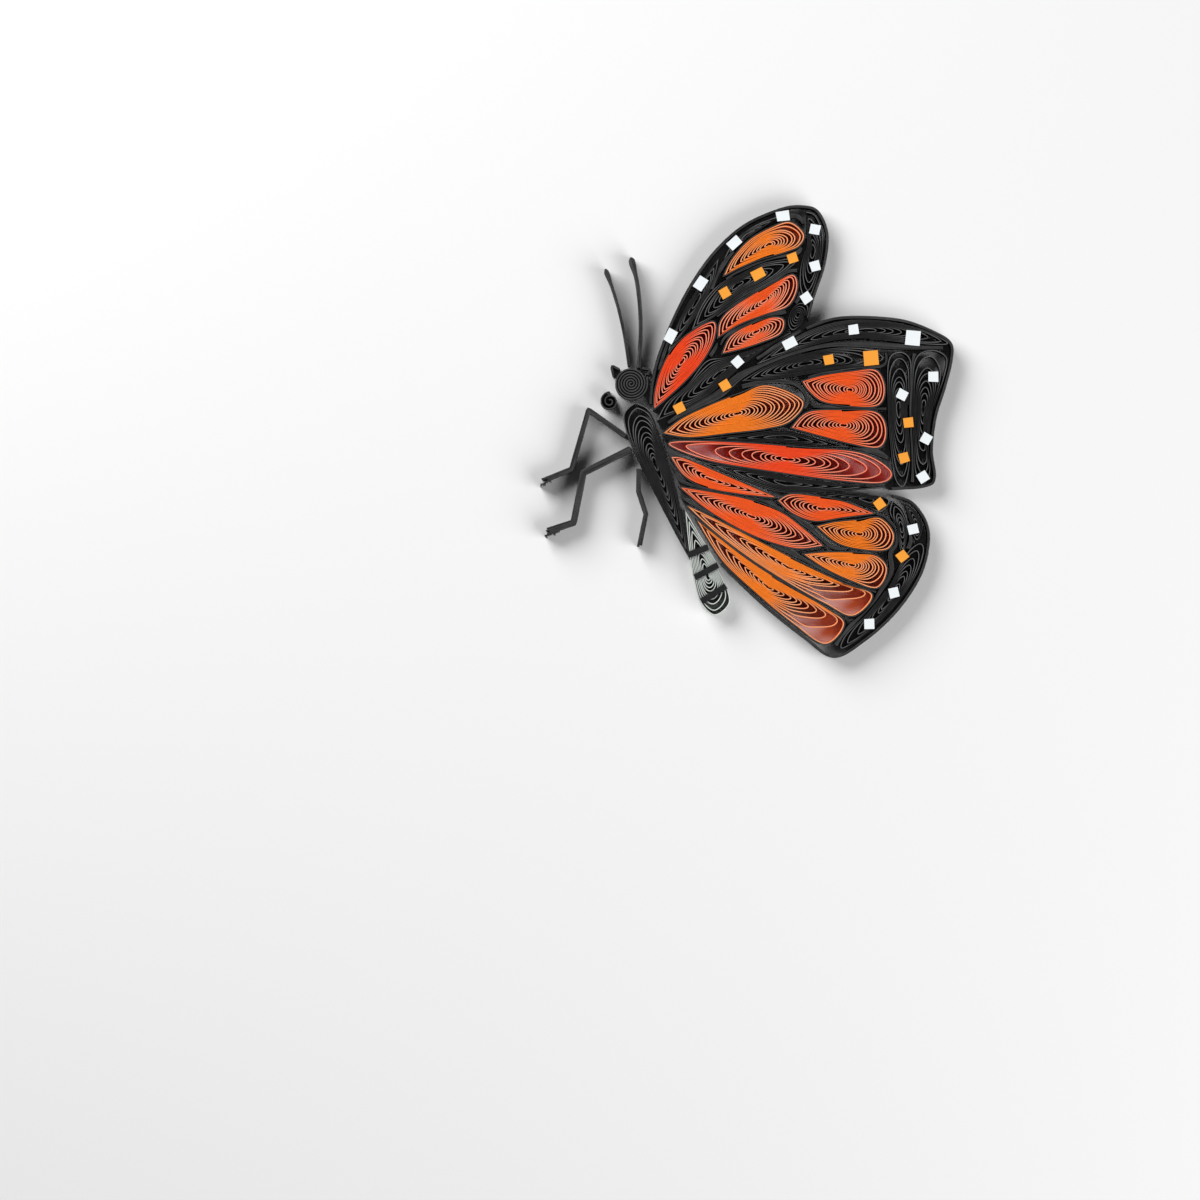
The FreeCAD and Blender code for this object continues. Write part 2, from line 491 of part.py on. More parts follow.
class Coil:
    """The turns of one rolled strip inside an outline, counted outward from its eye."""

    def __init__(self, outline, frame, inner, outer, turns, spread):
        self.frame = frame
        rim = [frame.inside(point) for point in outline]
        start = min(range(len(rim)), key=lambda corner: math.hypot(*rim[corner]))
        self.rim = rim[start:] + rim[:start]
        self.turns = turns
        self.spread = spread
        self.gap = size("turn_gap") * (BENT_GAP if isinstance(frame, BentFrame) else 1)
        self.half_width = distance_to_outline((0.0, 0.0), self.rim)
        self.core = min(size("coil_core"), EYE_SHARE * self.half_width)
        self.pitch = (self.half_width - self.core) / turns
        self.tips = [frame.inside(inner), frame.inside(outer)]
        self.reach = [math.hypot(*point) for point in self.rim]
        self.full = [self.rounded(turns, corner) for corner in range(len(self.rim))]

    def pressed(self, turn, corner):
        """How far out a turn lies if it keeps its layers' distance from the outline."""
        layers = (self.turns - turn) * self.pitch
        x, y = self.rim[corner]
        if layers < 1e-9:
            return self.reach[corner]
        for step in range(SCAN_STEPS):
            share = 1 - (step + 1) / SCAN_STEPS
            if distance_to_outline((x * share, y * share), self.rim) >= layers:
                low, high = share, share + 1 / SCAN_STEPS
                for _ in range(HALVINGS):
                    middle = (low + high) / 2
                    if distance_to_outline((x * middle, y * middle), self.rim) >= layers:
                        low = middle
                    else:
                        high = middle
                return low * self.reach[corner]
        return self.core

    def rounded(self, turn, corner):
        """The same place, where the turn also rounds over before it gets to the tip."""
        x, y = self.rim[corner]
        share = turn / self.turns
        best = None
        for tip in self.tips:
            length = math.hypot(*tip)
            along = (x * tip[0] + y * tip[1]) / (length * self.reach[corner])
            if best is None or along > best[0]:
                best = (along, length)
        along, length = best
        swell = 1 + TIP_SWELL * share ** TIP_SWELL_POWER
        cap_length = swell * (self.core + (length - self.core) * share ** self.spread)
        cap_width = swell * CAP_FULLNESS * (self.core + turn * self.pitch)
        cap = 1 / math.sqrt((along / cap_length) ** 2 + (1 - min(1, along ** 2)) / cap_width ** 2)
        side = self.pressed(turn, corner)
        return (side ** -CAP_SHARPNESS + cap ** -CAP_SHARPNESS) ** (-1 / CAP_SHARPNESS)

    def radius(self, turn, corner):
        turn = max(turn, 0.0)
        share = turn / self.turns
        fit = (self.reach[corner] / self.full[corner]) ** (share ** FIT_POWER)
        return self.rounded(turn, corner) * fit

    def wall(self):
        """The closed outline of the strip, from its outer end to its eye and back."""
        count = len(self.rim)
        side_share = self.pitch / (self.pitch + self.gap)
        outer_line, inner_line = [], []
        # A turn steps out to the next beside the eye, between the corner nearest to it and the one after.
        for step in range(1, self.turns * count + 1):
            whole, corner = divmod(step, count)
            turn = whole + (1 if corner else 0)
            outer = self.radius(turn, corner)
            gap = outer - self.radius(turn - 1, corner)
            thick = side_share * min(1.0, (self.pitch / gap) ** TIP_THINNING)
            layers = min(side_share, max(thick, size("tip_wall") / gap))
            inner = self.radius(turn - layers, corner)
            unit = (self.rim[corner][0] / self.reach[corner], self.rim[corner][1] / self.reach[corner])
            outer_line.append(self.frame.outside((unit[0] * outer, unit[1] * outer)))
            inner_line.append(self.frame.outside((unit[0] * inner, unit[1] * inner)))
        return outer_line + inner_line[::-1]


def pad(label, loops, height="Sheet.strip_height"):
    """A body padded from closed outlines drawn in its XY plane."""
    body = doc.addObject("PartDesign::Body", label)
    body.Label = label
    ground = next(plane for plane in body.Origin.OriginFeatures if plane.Role == "XY_Plane")
    sketch = body.newObject("Sketcher::SketchObject", label + "_outline")
    sketch.AttachmentSupport = (ground, [""])
    sketch.MapMode = "FlatFace"
    draw(sketch, loops)
    feature = body.newObject("PartDesign::Pad", label + "_pad")
    feature.Profile = sketch
    feature.setExpression("Length", height)
    body.Tip = feature
    return body


def draw(sketch, loops):
    """Closed runs of straight lines in a sketch."""
    for loop in loops:
        corners = [FreeCAD.Vector(x, y, 0) for x, y in loop]
        lines = [Part.LineSegment(a, b) for a, b in zip(corners, corners[1:] + corners[:1])]
        sketch.addGeometry(lines, False)


def pad_group(label, loops):
    """Several separate strips of one kind, raised from one sketch."""
    sketch = doc.addObject("Sketcher::SketchObject", label + "_outline")
    draw(sketch, loops)
    group = doc.addObject("Part::Extrusion", label)
    group.Label = label
    group.Base = sketch
    group.DirMode = "Custom"
    group.Dir = FreeCAD.Vector(0, 0, 1)
    group.Solid = True
    group.setExpression("LengthFwd", "Sheet.strip_height")
    return group


def coil_outline(form, label):
    """A coil's smooth outline, with its sharp corners kept."""
    points = plans([form["inner"]] + form["side"] + [form["outer"]] + form["back"])
    corners = {0}
    if label in PINCHED_AT_BOTH_ENDS:
        corners.add(1 + len(form["side"]))
    if label in ROUND_AT_BOTH_ENDS:
        corners = set()
    return smooth_outline(points, corners)


def add_coil(label, form, inset):
    """One rolled and pinched strip, set in from its outline."""
    outline = offset_outline(coil_outline(form, label), inset)
    eye, inner, outer = plan(form["eye"]), plan(form["inner"]), plan(form["outer"])
    frame = BentFrame(eye, inner, outer) if form.get("bent") else StraightFrame(eye)
    coil = Coil(outline, frame, inner, outer, form["turns"], form.get("spread", EVEN_SPREAD))
    return pad(label, [coil.wall()])


def strip_sides(line, walls):
    """The outline of a strip of layers along a line, with its wall at each point."""
    left, right = [], []
    for index, (here, wall) in enumerate(zip(line, walls)):
        before, after = line[max(index - 1, 0)], line[min(index + 1, len(line) - 1)]
        first = unit_between(before, here) if index else unit_between(here, after)
        second = unit_between(here, after) if index < len(line) - 1 else first
        across = (-(first[1] + second[1]), first[0] + second[0])
        length = math.hypot(*across)
        reach = wall / 2 * min(2 / length, MITRE_LIMIT)
        left.append((here[0] + across[0] / length * reach, here[1] + across[1] / length * reach))
        right.append((here[0] - across[0] / length * reach, here[1] - across[1] / length * reach))
    return left + right[::-1]


def unit_between(start, end):
    length = math.dist(start, end)
    return ((end[0] - start[0]) / length, (end[1] - start[1]) / length)


def edging(label, edge):
    """Layers of strip round a wing, with their outer face on the edge."""
    line = plans(edge)
    inner = []
    for index, here in enumerate(line):
        before, after = line[max(index - 1, 0)], line[min(index + 1, len(line) - 1)]
        way = unit_between(before, after)
        inner.append((here[0] + way[1] * size("edging_wall"), here[1] - way[0] * size("edging_wall")))
    return pad(label, [line + inner[::-1]])


parts = []


def add_wing(name, coils, fillers, packing, edge, squares):
    """A wing: its coloured coils, the strips round and between them, black coils, edging and squares."""
    rings = []
    for label, form in coils.items():
        outline = coil_outline(form, label)
        cell = offset_outline(outline, size("cell_margin"))
        inset = size("cell_margin") - size("paper_wall") - size("wrap_clearance")
        parts.append(add_coil(label, form, inset))
        rings += [cell, offset_outline(cell, -size("paper_wall"))]
    parts.append(pad_group(name + "_wrap_strips", rings))
    for label, form in fillers.items():
        parts.append(add_coil(label, form, 0.0))
    packed = [strip_sides(plans(strip["line"]), [width * MM_PER_PX for width in strip["widths"]])
              for strip in packing.values()]
    parts.append(pad_group(name + "_packing_strips", packed))
    parts.append(edging(name + "_edging", edge))
    for colour, places in squares.items():
        parts.append(add_squares("%s_%s_squares" % (name, colour), places))


def add_tile(label, middle, turn, length, breadth):
    """A flat piece of paper glued on top, sized by two cells of the sheet."""
    tile = doc.addObject("Part::Box", label)
    tile.Label = label
    tile.setExpression("Length", "Sheet." + length)
    tile.setExpression("Width", "Sheet." + breadth)
    tile.setExpression("Height", "Sheet.square_thickness")
    half = FreeCAD.Vector(size(length) / 2, size(breadth) / 2, 0)
    rotation = FreeCAD.Rotation(FreeCAD.Vector(0, 0, 1), turn)
    corner = FreeCAD.Vector(middle[0], middle[1], size("strip_height")) - rotation.multVec(half)
    tile.Placement = FreeCAD.Placement(corner, rotation)
    return tile


SQUARE_SIDES = {SMALL: ("square_side", "square_side"),
                LONG: ("long_square_length", "square_side"),
                LARGE: ("large_square_side", "large_square_side")}


def add_squares(label, places):
    """The squares of one colour on one wing, as separate pieces of one group."""
    tiles = []
    for number, (place, turn, kind) in enumerate(places, start=1):
        length, breadth = SQUARE_SIDES[kind]
        tiles.append(add_tile("%s_%d" % (label, number), plan(place), turn, length, breadth))
    group = doc.addObject("Part::Compound", label)
    group.Label = label
    group.Links = tiles
    return group


def add_head():
    """The round coil of the head, seated on the top of the thorax."""
    seat = plan(HEAD_SEAT)
    radius = size("head_diameter") / 2
    middle = (seat[0], seat[1] + size("seat_clearance") + radius)
    pitch = (radius - size("coil_core")) / HEAD_TURNS
    outer_line, inner_line = [], []
    for step in range(1, HEAD_TURNS * HEAD_FACETS + 1):
        angle = 2 * math.pi * step / HEAD_FACETS
        whole, corner = divmod(step, HEAD_FACETS)
        outer = size("coil_core") + (whole + (1 if corner else 0)) * pitch
        inner = outer - min(size("head_wall"), pitch - size("turn_gap"))
        outer_line.append(round_point(middle, outer, angle))
        inner_line.append(round_point(middle, inner, angle))
    parts.append(pad("head_coil", [outer_line + inner_line[::-1]]))
    return middle, radius


def round_point(middle, radius, angle):
    return (middle[0] + radius * math.cos(angle), middle[1] + radius * math.sin(angle))


def add_proboscis(head, head_radius):
    """The tongue: a strip rolled loosely, seated against the lower side of the face."""
    radius = size("proboscis_diameter") / 2
    wall = size("proboscis_wall")
    direction = math.radians(PROBOSCIS_DIRECTION)
    middle = round_point(head, head_radius + size("seat_clearance") + radius, direction)
    steps = int(PROBOSCIS_TURNS * PROBOSCIS_FACETS)
    outer_line, inner_line = [], []
    for step in range(steps + 1):
        share = step / steps
        reach = radius - wall / 2 - share * (radius - wall * SCROLL_EYE)
        angle = direction + math.pi + 2 * math.pi * step / PROBOSCIS_FACETS
        outer_line.append(round_point(middle, reach + wall / 2, angle))
        inner_line.append(round_point(middle, reach - wall / 2, angle))
    parts.append(pad("proboscis_scroll", [outer_line + inner_line[::-1]]))


def add_palp(head, head_radius):
    """A small pinched point on the brow."""
    angle = math.radians(PALP_DIRECTION)
    half = size("palp_width") / 2 / head_radius
    seat = (head_radius + size("seat_clearance")) / math.cos(half)
    base = [round_point(head, seat, angle - half), round_point(head, seat, angle + half)]
    tip = round_point(head, seat + size("palp_length"), angle - math.radians(PALP_LEAN))
    parts.append(pad("face_palp", [base + [tip]]))


def add_antenna(label, points, head, head_radius, wall, club):
    """A stem of glued strips that stands on the head and thickens to a club."""
    line = plans(points)
    foot = unit_between(head, line[0])
    reach = head_radius + size("seat_clearance") + ANTENNA_SINK * size(wall)
    seat = (head[0] + foot[0] * reach, head[1] + foot[1] * reach)
    shift = (seat[0] - line[0][0], seat[1] - line[0][1])
    line = [(x + shift[0], y + shift[1]) for x, y in line]
    walls = [size(wall)] * (len(line) - 2) + [(size(wall) + size(club)) / 2, size(club)]
    end = unit_between(line[-2], line[-1])
    length, share = CLUB_TIP
    line.append((line[-1][0] + end[0] * size(club) * length, line[-1][1] + end[1] * size(club) * length))
    walls.append(size(club) * share)
    parts.append(pad(label, [strip_sides(line, walls)]))


def add_leg(label, points, wall):
    """A bent leg of glued strips, narrowed a little to the foot."""
    line = plans(points)
    walls = [size(wall)] * (len(line) - 1) + [size(wall) * FOOT_SHARE]
    parts.append(pad(label, [strip_sides(line, walls)]))


def add_bands():
    """Black bands laid across the abdomen and cut to its width."""
    for number, (start, end) in enumerate(ABDOMEN_BANDS, start=1):
        first, last = plan(start), plan(end)
        body = doc.addObject("Part::Box", "abdomen_band_%d" % number)
        body.Label = "abdomen_band_%d" % number
        body.Length = math.dist(first, last)
        body.setExpression("Width", "Sheet.band_width")
        body.setExpression("Height", "Sheet.square_thickness")
        turn = math.degrees(math.atan2(last[1] - first[1], last[0] - first[0]))
        rotation = FreeCAD.Rotation(FreeCAD.Vector(0, 0, 1), turn)
        back = rotation.multVec(FreeCAD.Vector(0, size("band_width") / 2, 0))
        corner = FreeCAD.Vector(first[0], first[1], size("strip_height")) - back
        body.Placement = FreeCAD.Placement(corner, rotation)
        parts.append(body)


add_wing("far_forewing", FAR_FOREWING_COILS, FAR_FOREWING_FILLERS,
         FAR_FOREWING_PACKING, FAR_FOREWING_EDGE,
         {"white": FAR_FOREWING_WHITE, "gold": FAR_FOREWING_GOLD})
add_wing("near_forewing", NEAR_FOREWING_COILS, NEAR_FOREWING_FILLERS,
         NEAR_FOREWING_PACKING, NEAR_FOREWING_EDGE,
         {"white": NEAR_FOREWING_WHITE, "gold": NEAR_FOREWING_GOLD})
add_wing("hindwing", HINDWING_COILS, HINDWING_FILLERS,
         HINDWING_PACKING, HINDWING_EDGE,
         {"white": HINDWING_WHITE, "gold": HINDWING_GOLD})
for coil_label, coil_form in BODY_COILS.items():
    parts.append(add_coil(coil_label, coil_form, 0.0))
add_bands()
head_middle, head_reach = add_head()
add_proboscis(head_middle, head_reach)
add_palp(head_middle, head_reach)
add_antenna("left_antenna", LEFT_ANTENNA, head_middle, head_reach,
            "left_antenna_wall", "left_antenna_club")
add_antenna("right_antenna", RIGHT_ANTENNA, head_middle, head_reach,
            "right_antenna_wall", "right_antenna_club")
add_leg("front_leg", FRONT_LEG, "front_leg_wall")
add_leg("middle_leg", MIDDLE_LEG, "middle_leg_wall")
add_leg("hind_leg", HIND_LEG, "hind_leg_wall")

doc.recompute()
for item in doc.Objects:
    if "Invalid" in item.State or "Error" in item.State:
        raise RuntimeError("%s did not build: %s" % (item.Label, item.State))
for item in parts:
    if item.Shape.isNull() or not item.Shape.isValid() or not item.Shape.Solids:
        raise RuntimeError("%s has no valid solid" % item.Label)

os.makedirs("parts", exist_ok=True)
for item in parts:
    item.Shape.exportStep("parts/%s.step" % item.Label)
whole = Part.makeCompound([item.Shape for item in parts])
box = whole.BoundBox
print("nodes %d  x %.3f..%.3f  y %.3f..%.3f  z %.3f..%.3f" % (
    len(parts), box.XMin, box.XMax, box.YMin, box.YMax, box.ZMin, box.ZMax))
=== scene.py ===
"""Dresses the quilled paper butterfly: every cell is a strip of coloured paper rolled,
pinched and stood on edge, glued to its neighbours and to the black edging of its wing."""
import json
import math
import random

import bmesh
import bpy
import numpy as np
from bpy.props import FloatProperty, FloatVectorProperty, PointerProperty
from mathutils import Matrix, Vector

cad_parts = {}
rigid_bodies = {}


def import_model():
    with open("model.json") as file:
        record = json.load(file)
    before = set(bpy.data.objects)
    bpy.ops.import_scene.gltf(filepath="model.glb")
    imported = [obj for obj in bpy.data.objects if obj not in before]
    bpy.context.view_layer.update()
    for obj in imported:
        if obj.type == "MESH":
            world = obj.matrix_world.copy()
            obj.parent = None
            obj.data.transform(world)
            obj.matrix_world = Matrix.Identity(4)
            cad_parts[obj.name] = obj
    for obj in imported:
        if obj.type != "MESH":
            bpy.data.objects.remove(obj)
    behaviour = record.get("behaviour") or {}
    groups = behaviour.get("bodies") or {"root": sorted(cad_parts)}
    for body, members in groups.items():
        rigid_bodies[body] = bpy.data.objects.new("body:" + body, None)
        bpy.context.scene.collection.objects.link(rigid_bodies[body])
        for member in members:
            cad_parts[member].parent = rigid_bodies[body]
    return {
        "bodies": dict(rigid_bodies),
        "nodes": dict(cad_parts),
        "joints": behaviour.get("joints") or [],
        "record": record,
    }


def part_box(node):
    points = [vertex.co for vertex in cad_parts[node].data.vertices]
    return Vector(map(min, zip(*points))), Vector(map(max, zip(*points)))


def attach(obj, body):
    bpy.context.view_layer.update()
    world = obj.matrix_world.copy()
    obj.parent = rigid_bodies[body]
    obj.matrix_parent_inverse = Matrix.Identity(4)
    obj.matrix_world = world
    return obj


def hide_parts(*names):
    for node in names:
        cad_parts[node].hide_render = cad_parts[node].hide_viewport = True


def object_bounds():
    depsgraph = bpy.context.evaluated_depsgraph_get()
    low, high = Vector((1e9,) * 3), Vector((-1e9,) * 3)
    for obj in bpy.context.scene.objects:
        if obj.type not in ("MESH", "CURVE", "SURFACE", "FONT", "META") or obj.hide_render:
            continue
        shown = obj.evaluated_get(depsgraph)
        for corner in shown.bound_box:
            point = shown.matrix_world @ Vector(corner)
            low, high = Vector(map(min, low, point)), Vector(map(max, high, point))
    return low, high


bl_info = {
    "name": "Quilled Paper Butterfly",
    "version": (1, 0, 0),
    "blender": (4, 5, 0),
    "location": "View3D > Sidebar > Butterfly",
    "description": "Rolls and pinches the paper strips of a quilled butterfly",
    "category": "Object",
}

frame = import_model()
CAD_LOW, CAD_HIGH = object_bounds()
MM = 0.001
STRIP_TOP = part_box("thorax_coil")[1].z
SQUARE_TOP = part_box("far_forewing_white_squares")[1].z

# The layout is read off the photograph, in its pixels, and scaled to the figure's real width.
FIGURE_WIDTH_PX = 412.6
FIGURE_MIDDLE_PX = (746.5, 431.6)
PHOTO_SIDE_PX = 1200
METRES_PER_PX = (CAD_HIGH.x - CAD_LOW.x) / FIGURE_WIDTH_PX


def plan(point):
    """A place read off the photograph, in the part's own metres."""
    return ((point[0] - FIGURE_MIDDLE_PX[0]) * METRES_PER_PX,
            (FIGURE_MIDDLE_PX[1] - point[1]) * METRES_PER_PX)


def plans(points):
    return np.array([plan(point) for point in points])


# Each coil: its inner tip, one side, its outer end, the other side, its eye and its turns.
# Even says how evenly the turns open towards the two tips. Below 1 the outermost open the most.
FAR_FOREWING_COILS = {
    "far_tip_coil": dict(
        inner=(724.5, 275), side=[(733, 258.5), (750, 240), (772, 227.5), (790, 222.3)],
        outer=(803.6, 234), back=[(799, 245.5), (784, 252), (760, 258.8), (740, 267)],
        eye=(769, 244.5), turns=10),
    "far_root_coil": dict(
        inner=(654.5, 408), side=[(655.3, 392), (661.5, 370), (674, 347.5), (694, 330.5)],
        outer=(713.5, 322), back=[(714, 338), (704, 358), (687, 378.5), (668, 396.5)],
        eye=(682, 361), turns=12),
    "far_upper_coil": dict(
        inner=(718.5, 336.5), side=[(720.5, 322), (731, 309.5), (752, 295.5), (775, 283)],
        outer=(793, 275), back=[(797, 288), (788, 305.5), (765, 314), (740, 323.5)],
        eye=(765, 300), turns=12),
    "far_lower_coil": dict(
        inner=(723, 352.8), side=[(731, 336.5), (750, 325), (772, 317.8)],
        outer=(783.5, 320.5), back=[(780, 333.5), (760, 342.3), (740, 348.7)],
        eye=(757, 331), turns=8),
}
NEAR_FOREWING_COILS = {
    "near_large_coil": dict(
        inner=(664, 433), side=[(682, 419), (710, 405.5), (740, 393.8), (768, 385.6)],
        outer=(802.5, 401), back=[(790, 421), (765, 428.3), (730, 432.6), (690, 436.8)],
        eye=(738, 413), turns=15, even=(0.85, 0.95)),
    "near_top_coil": dict(
        inner=(802.8, 381.5), side=[(822, 376), (852, 371.6), (876, 370.4)],
        outer=(884.6, 388), back=[(878, 405), (850, 405.8), (824, 401.5), (810.5, 392)],
        eye=(850, 390), turns=13),
    "near_middle_coil": dict(
        inner=(792, 427.5), side=[(808, 412.5), (840, 410.4), (876, 412.4)],
        outer=(886, 430), back=[(879, 447), (850, 443), (820, 435.2)],
        eye=(844, 425), turns=12),
    "near_long_coil": dict(
        inner=(671, 446), side=[(680, 441.3), (735, 442.6), (800, 447.5), (860, 453)],
        outer=(890.5, 470.5), back=[(882, 482.5), (840, 480.2), (780, 472), (710, 460.4)],
        eye=(787, 459), turns=11, even=(0.5, 0.75)),
}
HINDWING_COILS = {
    "hind_thin_coil": dict(
        inner=(671.3, 457), side=[(684, 458.5), (712, 470), (745, 484)],
        outer=(775.5, 497.2), back=[(742, 493.8), (705, 486.8), (684, 475)],
        eye=(709, 479), turns=8),
    "hind_large_coil": dict(
        inner=(681, 487.5), side=[(715, 493), (750, 500.2), (780, 511.8), (803, 528.5)],
        outer=(822.5, 545.5), back=[(797, 548), (765, 539.7), (735, 526), (705, 507.5)],
        eye=(751, 516), turns=14, even=(0.8, 0.85)),
    "hind_upper_coil": dict(
        inner=(778.5, 500.5), side=[(790, 494.6), (812, 496), (842, 501.4)],
        outer=(873.5, 513.3), back=[(843, 517), (815, 520.6), (793, 513)],
        eye=(821, 508.5), turns=9),
    "hind_outer_coil": dict(
        inner=(817.5, 526.5), side=[(835, 522.4), (858, 520.2), (880, 518.4)],
        outer=(893.5, 534), back=[(887.5, 548.8), (864, 549.2), (838, 542.8)],
        eye=(860, 534), turns=10),
    "hind_middle_coil": dict(
        inner=(804.5, 554.3), side=[(826, 552.6), (856, 553), (877, 556.6)],
        outer=(886.8, 569.5), back=[(877, 587.6), (852, 580.5), (826, 568.5)],
        eye=(853, 565), turns=11),
    "hind_long_coil": dict(
        inner=(687.5, 506), side=[(712, 517.5), (755, 539.5), (800, 562.5), (842, 583)],
        outer=(872, 595), back=[(853, 615.5), (826, 603.6), (790, 583.5), (750, 558), (714, 530.5)],
        eye=(788, 567), turns=11, even=(0.7, 0.8)),
    "hind_inner_coil": dict(
        inner=(697.3, 520.5), side=[(714, 534.2), (750, 561.6), (790, 587.2), (826, 608.5)],
        outer=(844, 624), back=[(825, 643.8), (793.5, 623.4), (757.5, 593.7), (722.5, 560.2)],
        eye=(768, 587), turns=11, even=(0.7, 0.8)),
}
FAR_FOREWING_FILLERS = {
    "far_leading_filler": dict(
        inner=(668, 352), side=[(673.5, 334), (683, 312.5), (699, 284.5)],
        outer=(718.5, 258.5), back=[(713, 283), (699, 311), (682, 335)],
        eye=(697, 300), turns=6),
    "far_brow_filler": dict(
        inner=(724, 259), side=[(734, 242), (754, 226)],
        outer=(783, 214.5), back=[(757, 231.6), (738, 246.2)],
        eye=(746, 235.8), turns=4),
    "far_middle_filler": dict(
        inner=(692, 329.5), side=[(702, 305), (718, 285.5), (742, 272), (768, 262)],
        outer=(797, 260), back=[(772, 280.6), (748, 293.4), (727, 307.2), (712, 318.2)],
        eye=(738, 284), turns=9),
    "far_margin_filler": dict(
        inner=(806, 211.5), side=[(815.5, 215.5), (822.4, 232), (822.5, 252), (816, 282)],
        outer=(807, 300), back=[(800.5, 288), (800.5, 268), (805.5, 247), (807, 227)],
        eye=(813, 250), turns=6),
    "far_corner_filler": dict(
        inner=(800, 303), side=[(808, 307), (803.5, 321)],
        outer=(793, 330), back=[(788, 322), (792, 309.5)],
        eye=(798, 315), turns=5),
    "far_lower_filler": dict(
        inner=(657, 420.5), side=[(667, 402.5), (688, 384), (706, 361.5), (726, 357), (760, 346.8)],
        outer=(790, 333), back=[(762, 351.5), (738, 369.5), (715, 391), (688, 407)],
        eye=(719, 374), turns=9),
}
NEAR_FOREWING_FILLERS = {
    "near_leading_filler": dict(
        inner=(757, 364), side=[(782, 345.5), (812, 329.5), (845, 320.7), (880, 320.5), (920, 328.5)],
        outer=(948, 343.5), back=[(915, 343.5), (875, 339.8), (835, 340.5), (795, 350.5)],
        eye=(868, 330.4), turns=9, bent=True),
    "near_upper_filler": dict(
        inner=(742, 381), side=[(765, 367), (795, 355), (830, 348.3), (865, 348.8)],
        outer=(883.5, 358), back=[(866, 365.5), (835, 369.4), (805, 374.7), (774, 379)],
        eye=(806, 363), turns=9),
    "near_inner_margin_filler": dict(
        inner=(900, 352), side=[(910.5, 360), (910.5, 385), (908.3, 410), (910, 460)],
        outer=(904, 486), back=[(895, 478), (890.5, 445), (888, 410), (888.3, 362)],
        eye=(898.5, 408), turns=8),
    "near_outer_margin_filler": dict(
        inner=(930, 350), side=[(946.5, 357), (944, 378), (935, 405), (929, 440), (930, 472)],
        outer=(923, 484), back=[(915.5, 472), (913.5, 440), (912.5, 410), (914.5, 362)],
        eye=(923.5, 406), turns=8),
    "near_wedge_filler": dict(
        inner=(702, 438.8), side=[(740, 434.6), (772, 430.8), (792, 431.3), (822, 439.6)],
        outer=(850, 447.3), back=[(815, 446.2), (780, 443.7), (740, 441)],
        eye=(785, 437.3), turns=4),
    "near_lower_filler": dict(
        inner=(700, 461.7), side=[(740, 467.6), (790, 475.8), (840, 483.5)],
        outer=(885, 487.5), back=[(835, 491.3), (785, 492.5), (752, 483.5), (726, 472.5)],
        eye=(785, 483), turns=6),
}
HINDWING_FILLERS = {
    "hind_top_filler": dict(
        inner=(826, 496), side=[(845, 493.7), (870, 493.5)],
        outer=(889, 500), back=[(881, 511.5), (868, 507.3), (850, 501)],
        eye=(869, 500), turns=4),
    "hind_upper_margin_filler": dict(
        inner=(892.5, 500.5), side=[(903, 509.5), (908, 527)],
        outer=(903, 556), back=[(898.5, 541), (896, 526), (890, 512.5)],
        eye=(901.5, 528), turns=5, bent=True),
    "hind_outer_margin_filler": dict(
        inner=(900.5, 501.5), side=[(914, 509.5), (923, 525)],
        outer=(917, 540), back=[(911, 528), (906.5, 510)],
        eye=(916, 523), turns=5, bent=True),
    "hind_lower_margin_filler": dict(
        inner=(919, 543.5), side=[(923.8, 551), (915.5, 576), (894.5, 606.5), (867, 633)],
        outer=(842, 648.5), back=[(846, 634.5), (868, 612.5), (888, 586.5), (905, 556)],
        eye=(893, 594), turns=8, bent=True),
}
BODY_COILS = {
    "thorax_coil": dict(
        inner=(635, 402.2), side=[(650, 411), (660, 436), (672, 471), (682, 515)],
        outer=(690, 559.5), back=[(678, 538), (653, 490), (632, 447), (623.5, 416)],
        eye=(655, 463), turns=11),
    "abdomen_coil": dict(
        inner=(685.5, 511), side=[(700, 535.5), (714, 558.5), (725, 582), (729.5, 603)],
        outer=(715, 615.2), back=[(701, 603), (694, 580), (689, 548)],
        eye=(708, 576), turns=9, even=(0.75, 0.9)),
}

# Coils whose far end is a sharp pinch as well as the near one
PINCHED_AT_BOTH_ENDS = ("hind_thin_coil", "hind_large_coil", "hind_upper_coil", "thorax_coil",
                        "far_leading_filler", "far_brow_filler", "near_wedge_filler",
                        "near_lower_filler")
ROUND_AT_BOTH_ENDS = ("near_long_coil", "near_inner_margin_filler", "near_outer_margin_filler",
                      "hind_lower_margin_filler", "far_corner_filler")

# Outer face of the edging of each wing, from where it leaves the body to where it ends
FAR_FOREWING_EDGE = [(649, 404), (650.8, 384), (657, 357), (671, 321), (690, 284), (714, 250.5),
                     (744, 224), (780, 208), (803, 205.2), (819, 211), (828.5, 234),
                     (825.5, 265), (815, 297), (808.5, 322)]
NEAR_FOREWING_EDGE = [(806, 327), (833, 317.5), (866, 315.8), (905, 319.7), (937, 332),
                      (952, 343), (952.8, 360), (946, 388), (937, 417), (933, 450),
                      (936, 477), (927, 487), (890, 490)]
HINDWING_EDGE = [(893, 494.5), (912, 501), (926.5, 520), (930, 543), (921.5, 576), (898, 611.5),
                 (866, 641), (834, 658), (804, 638.8), (767, 609.4), (736, 580.5), (717, 561)]

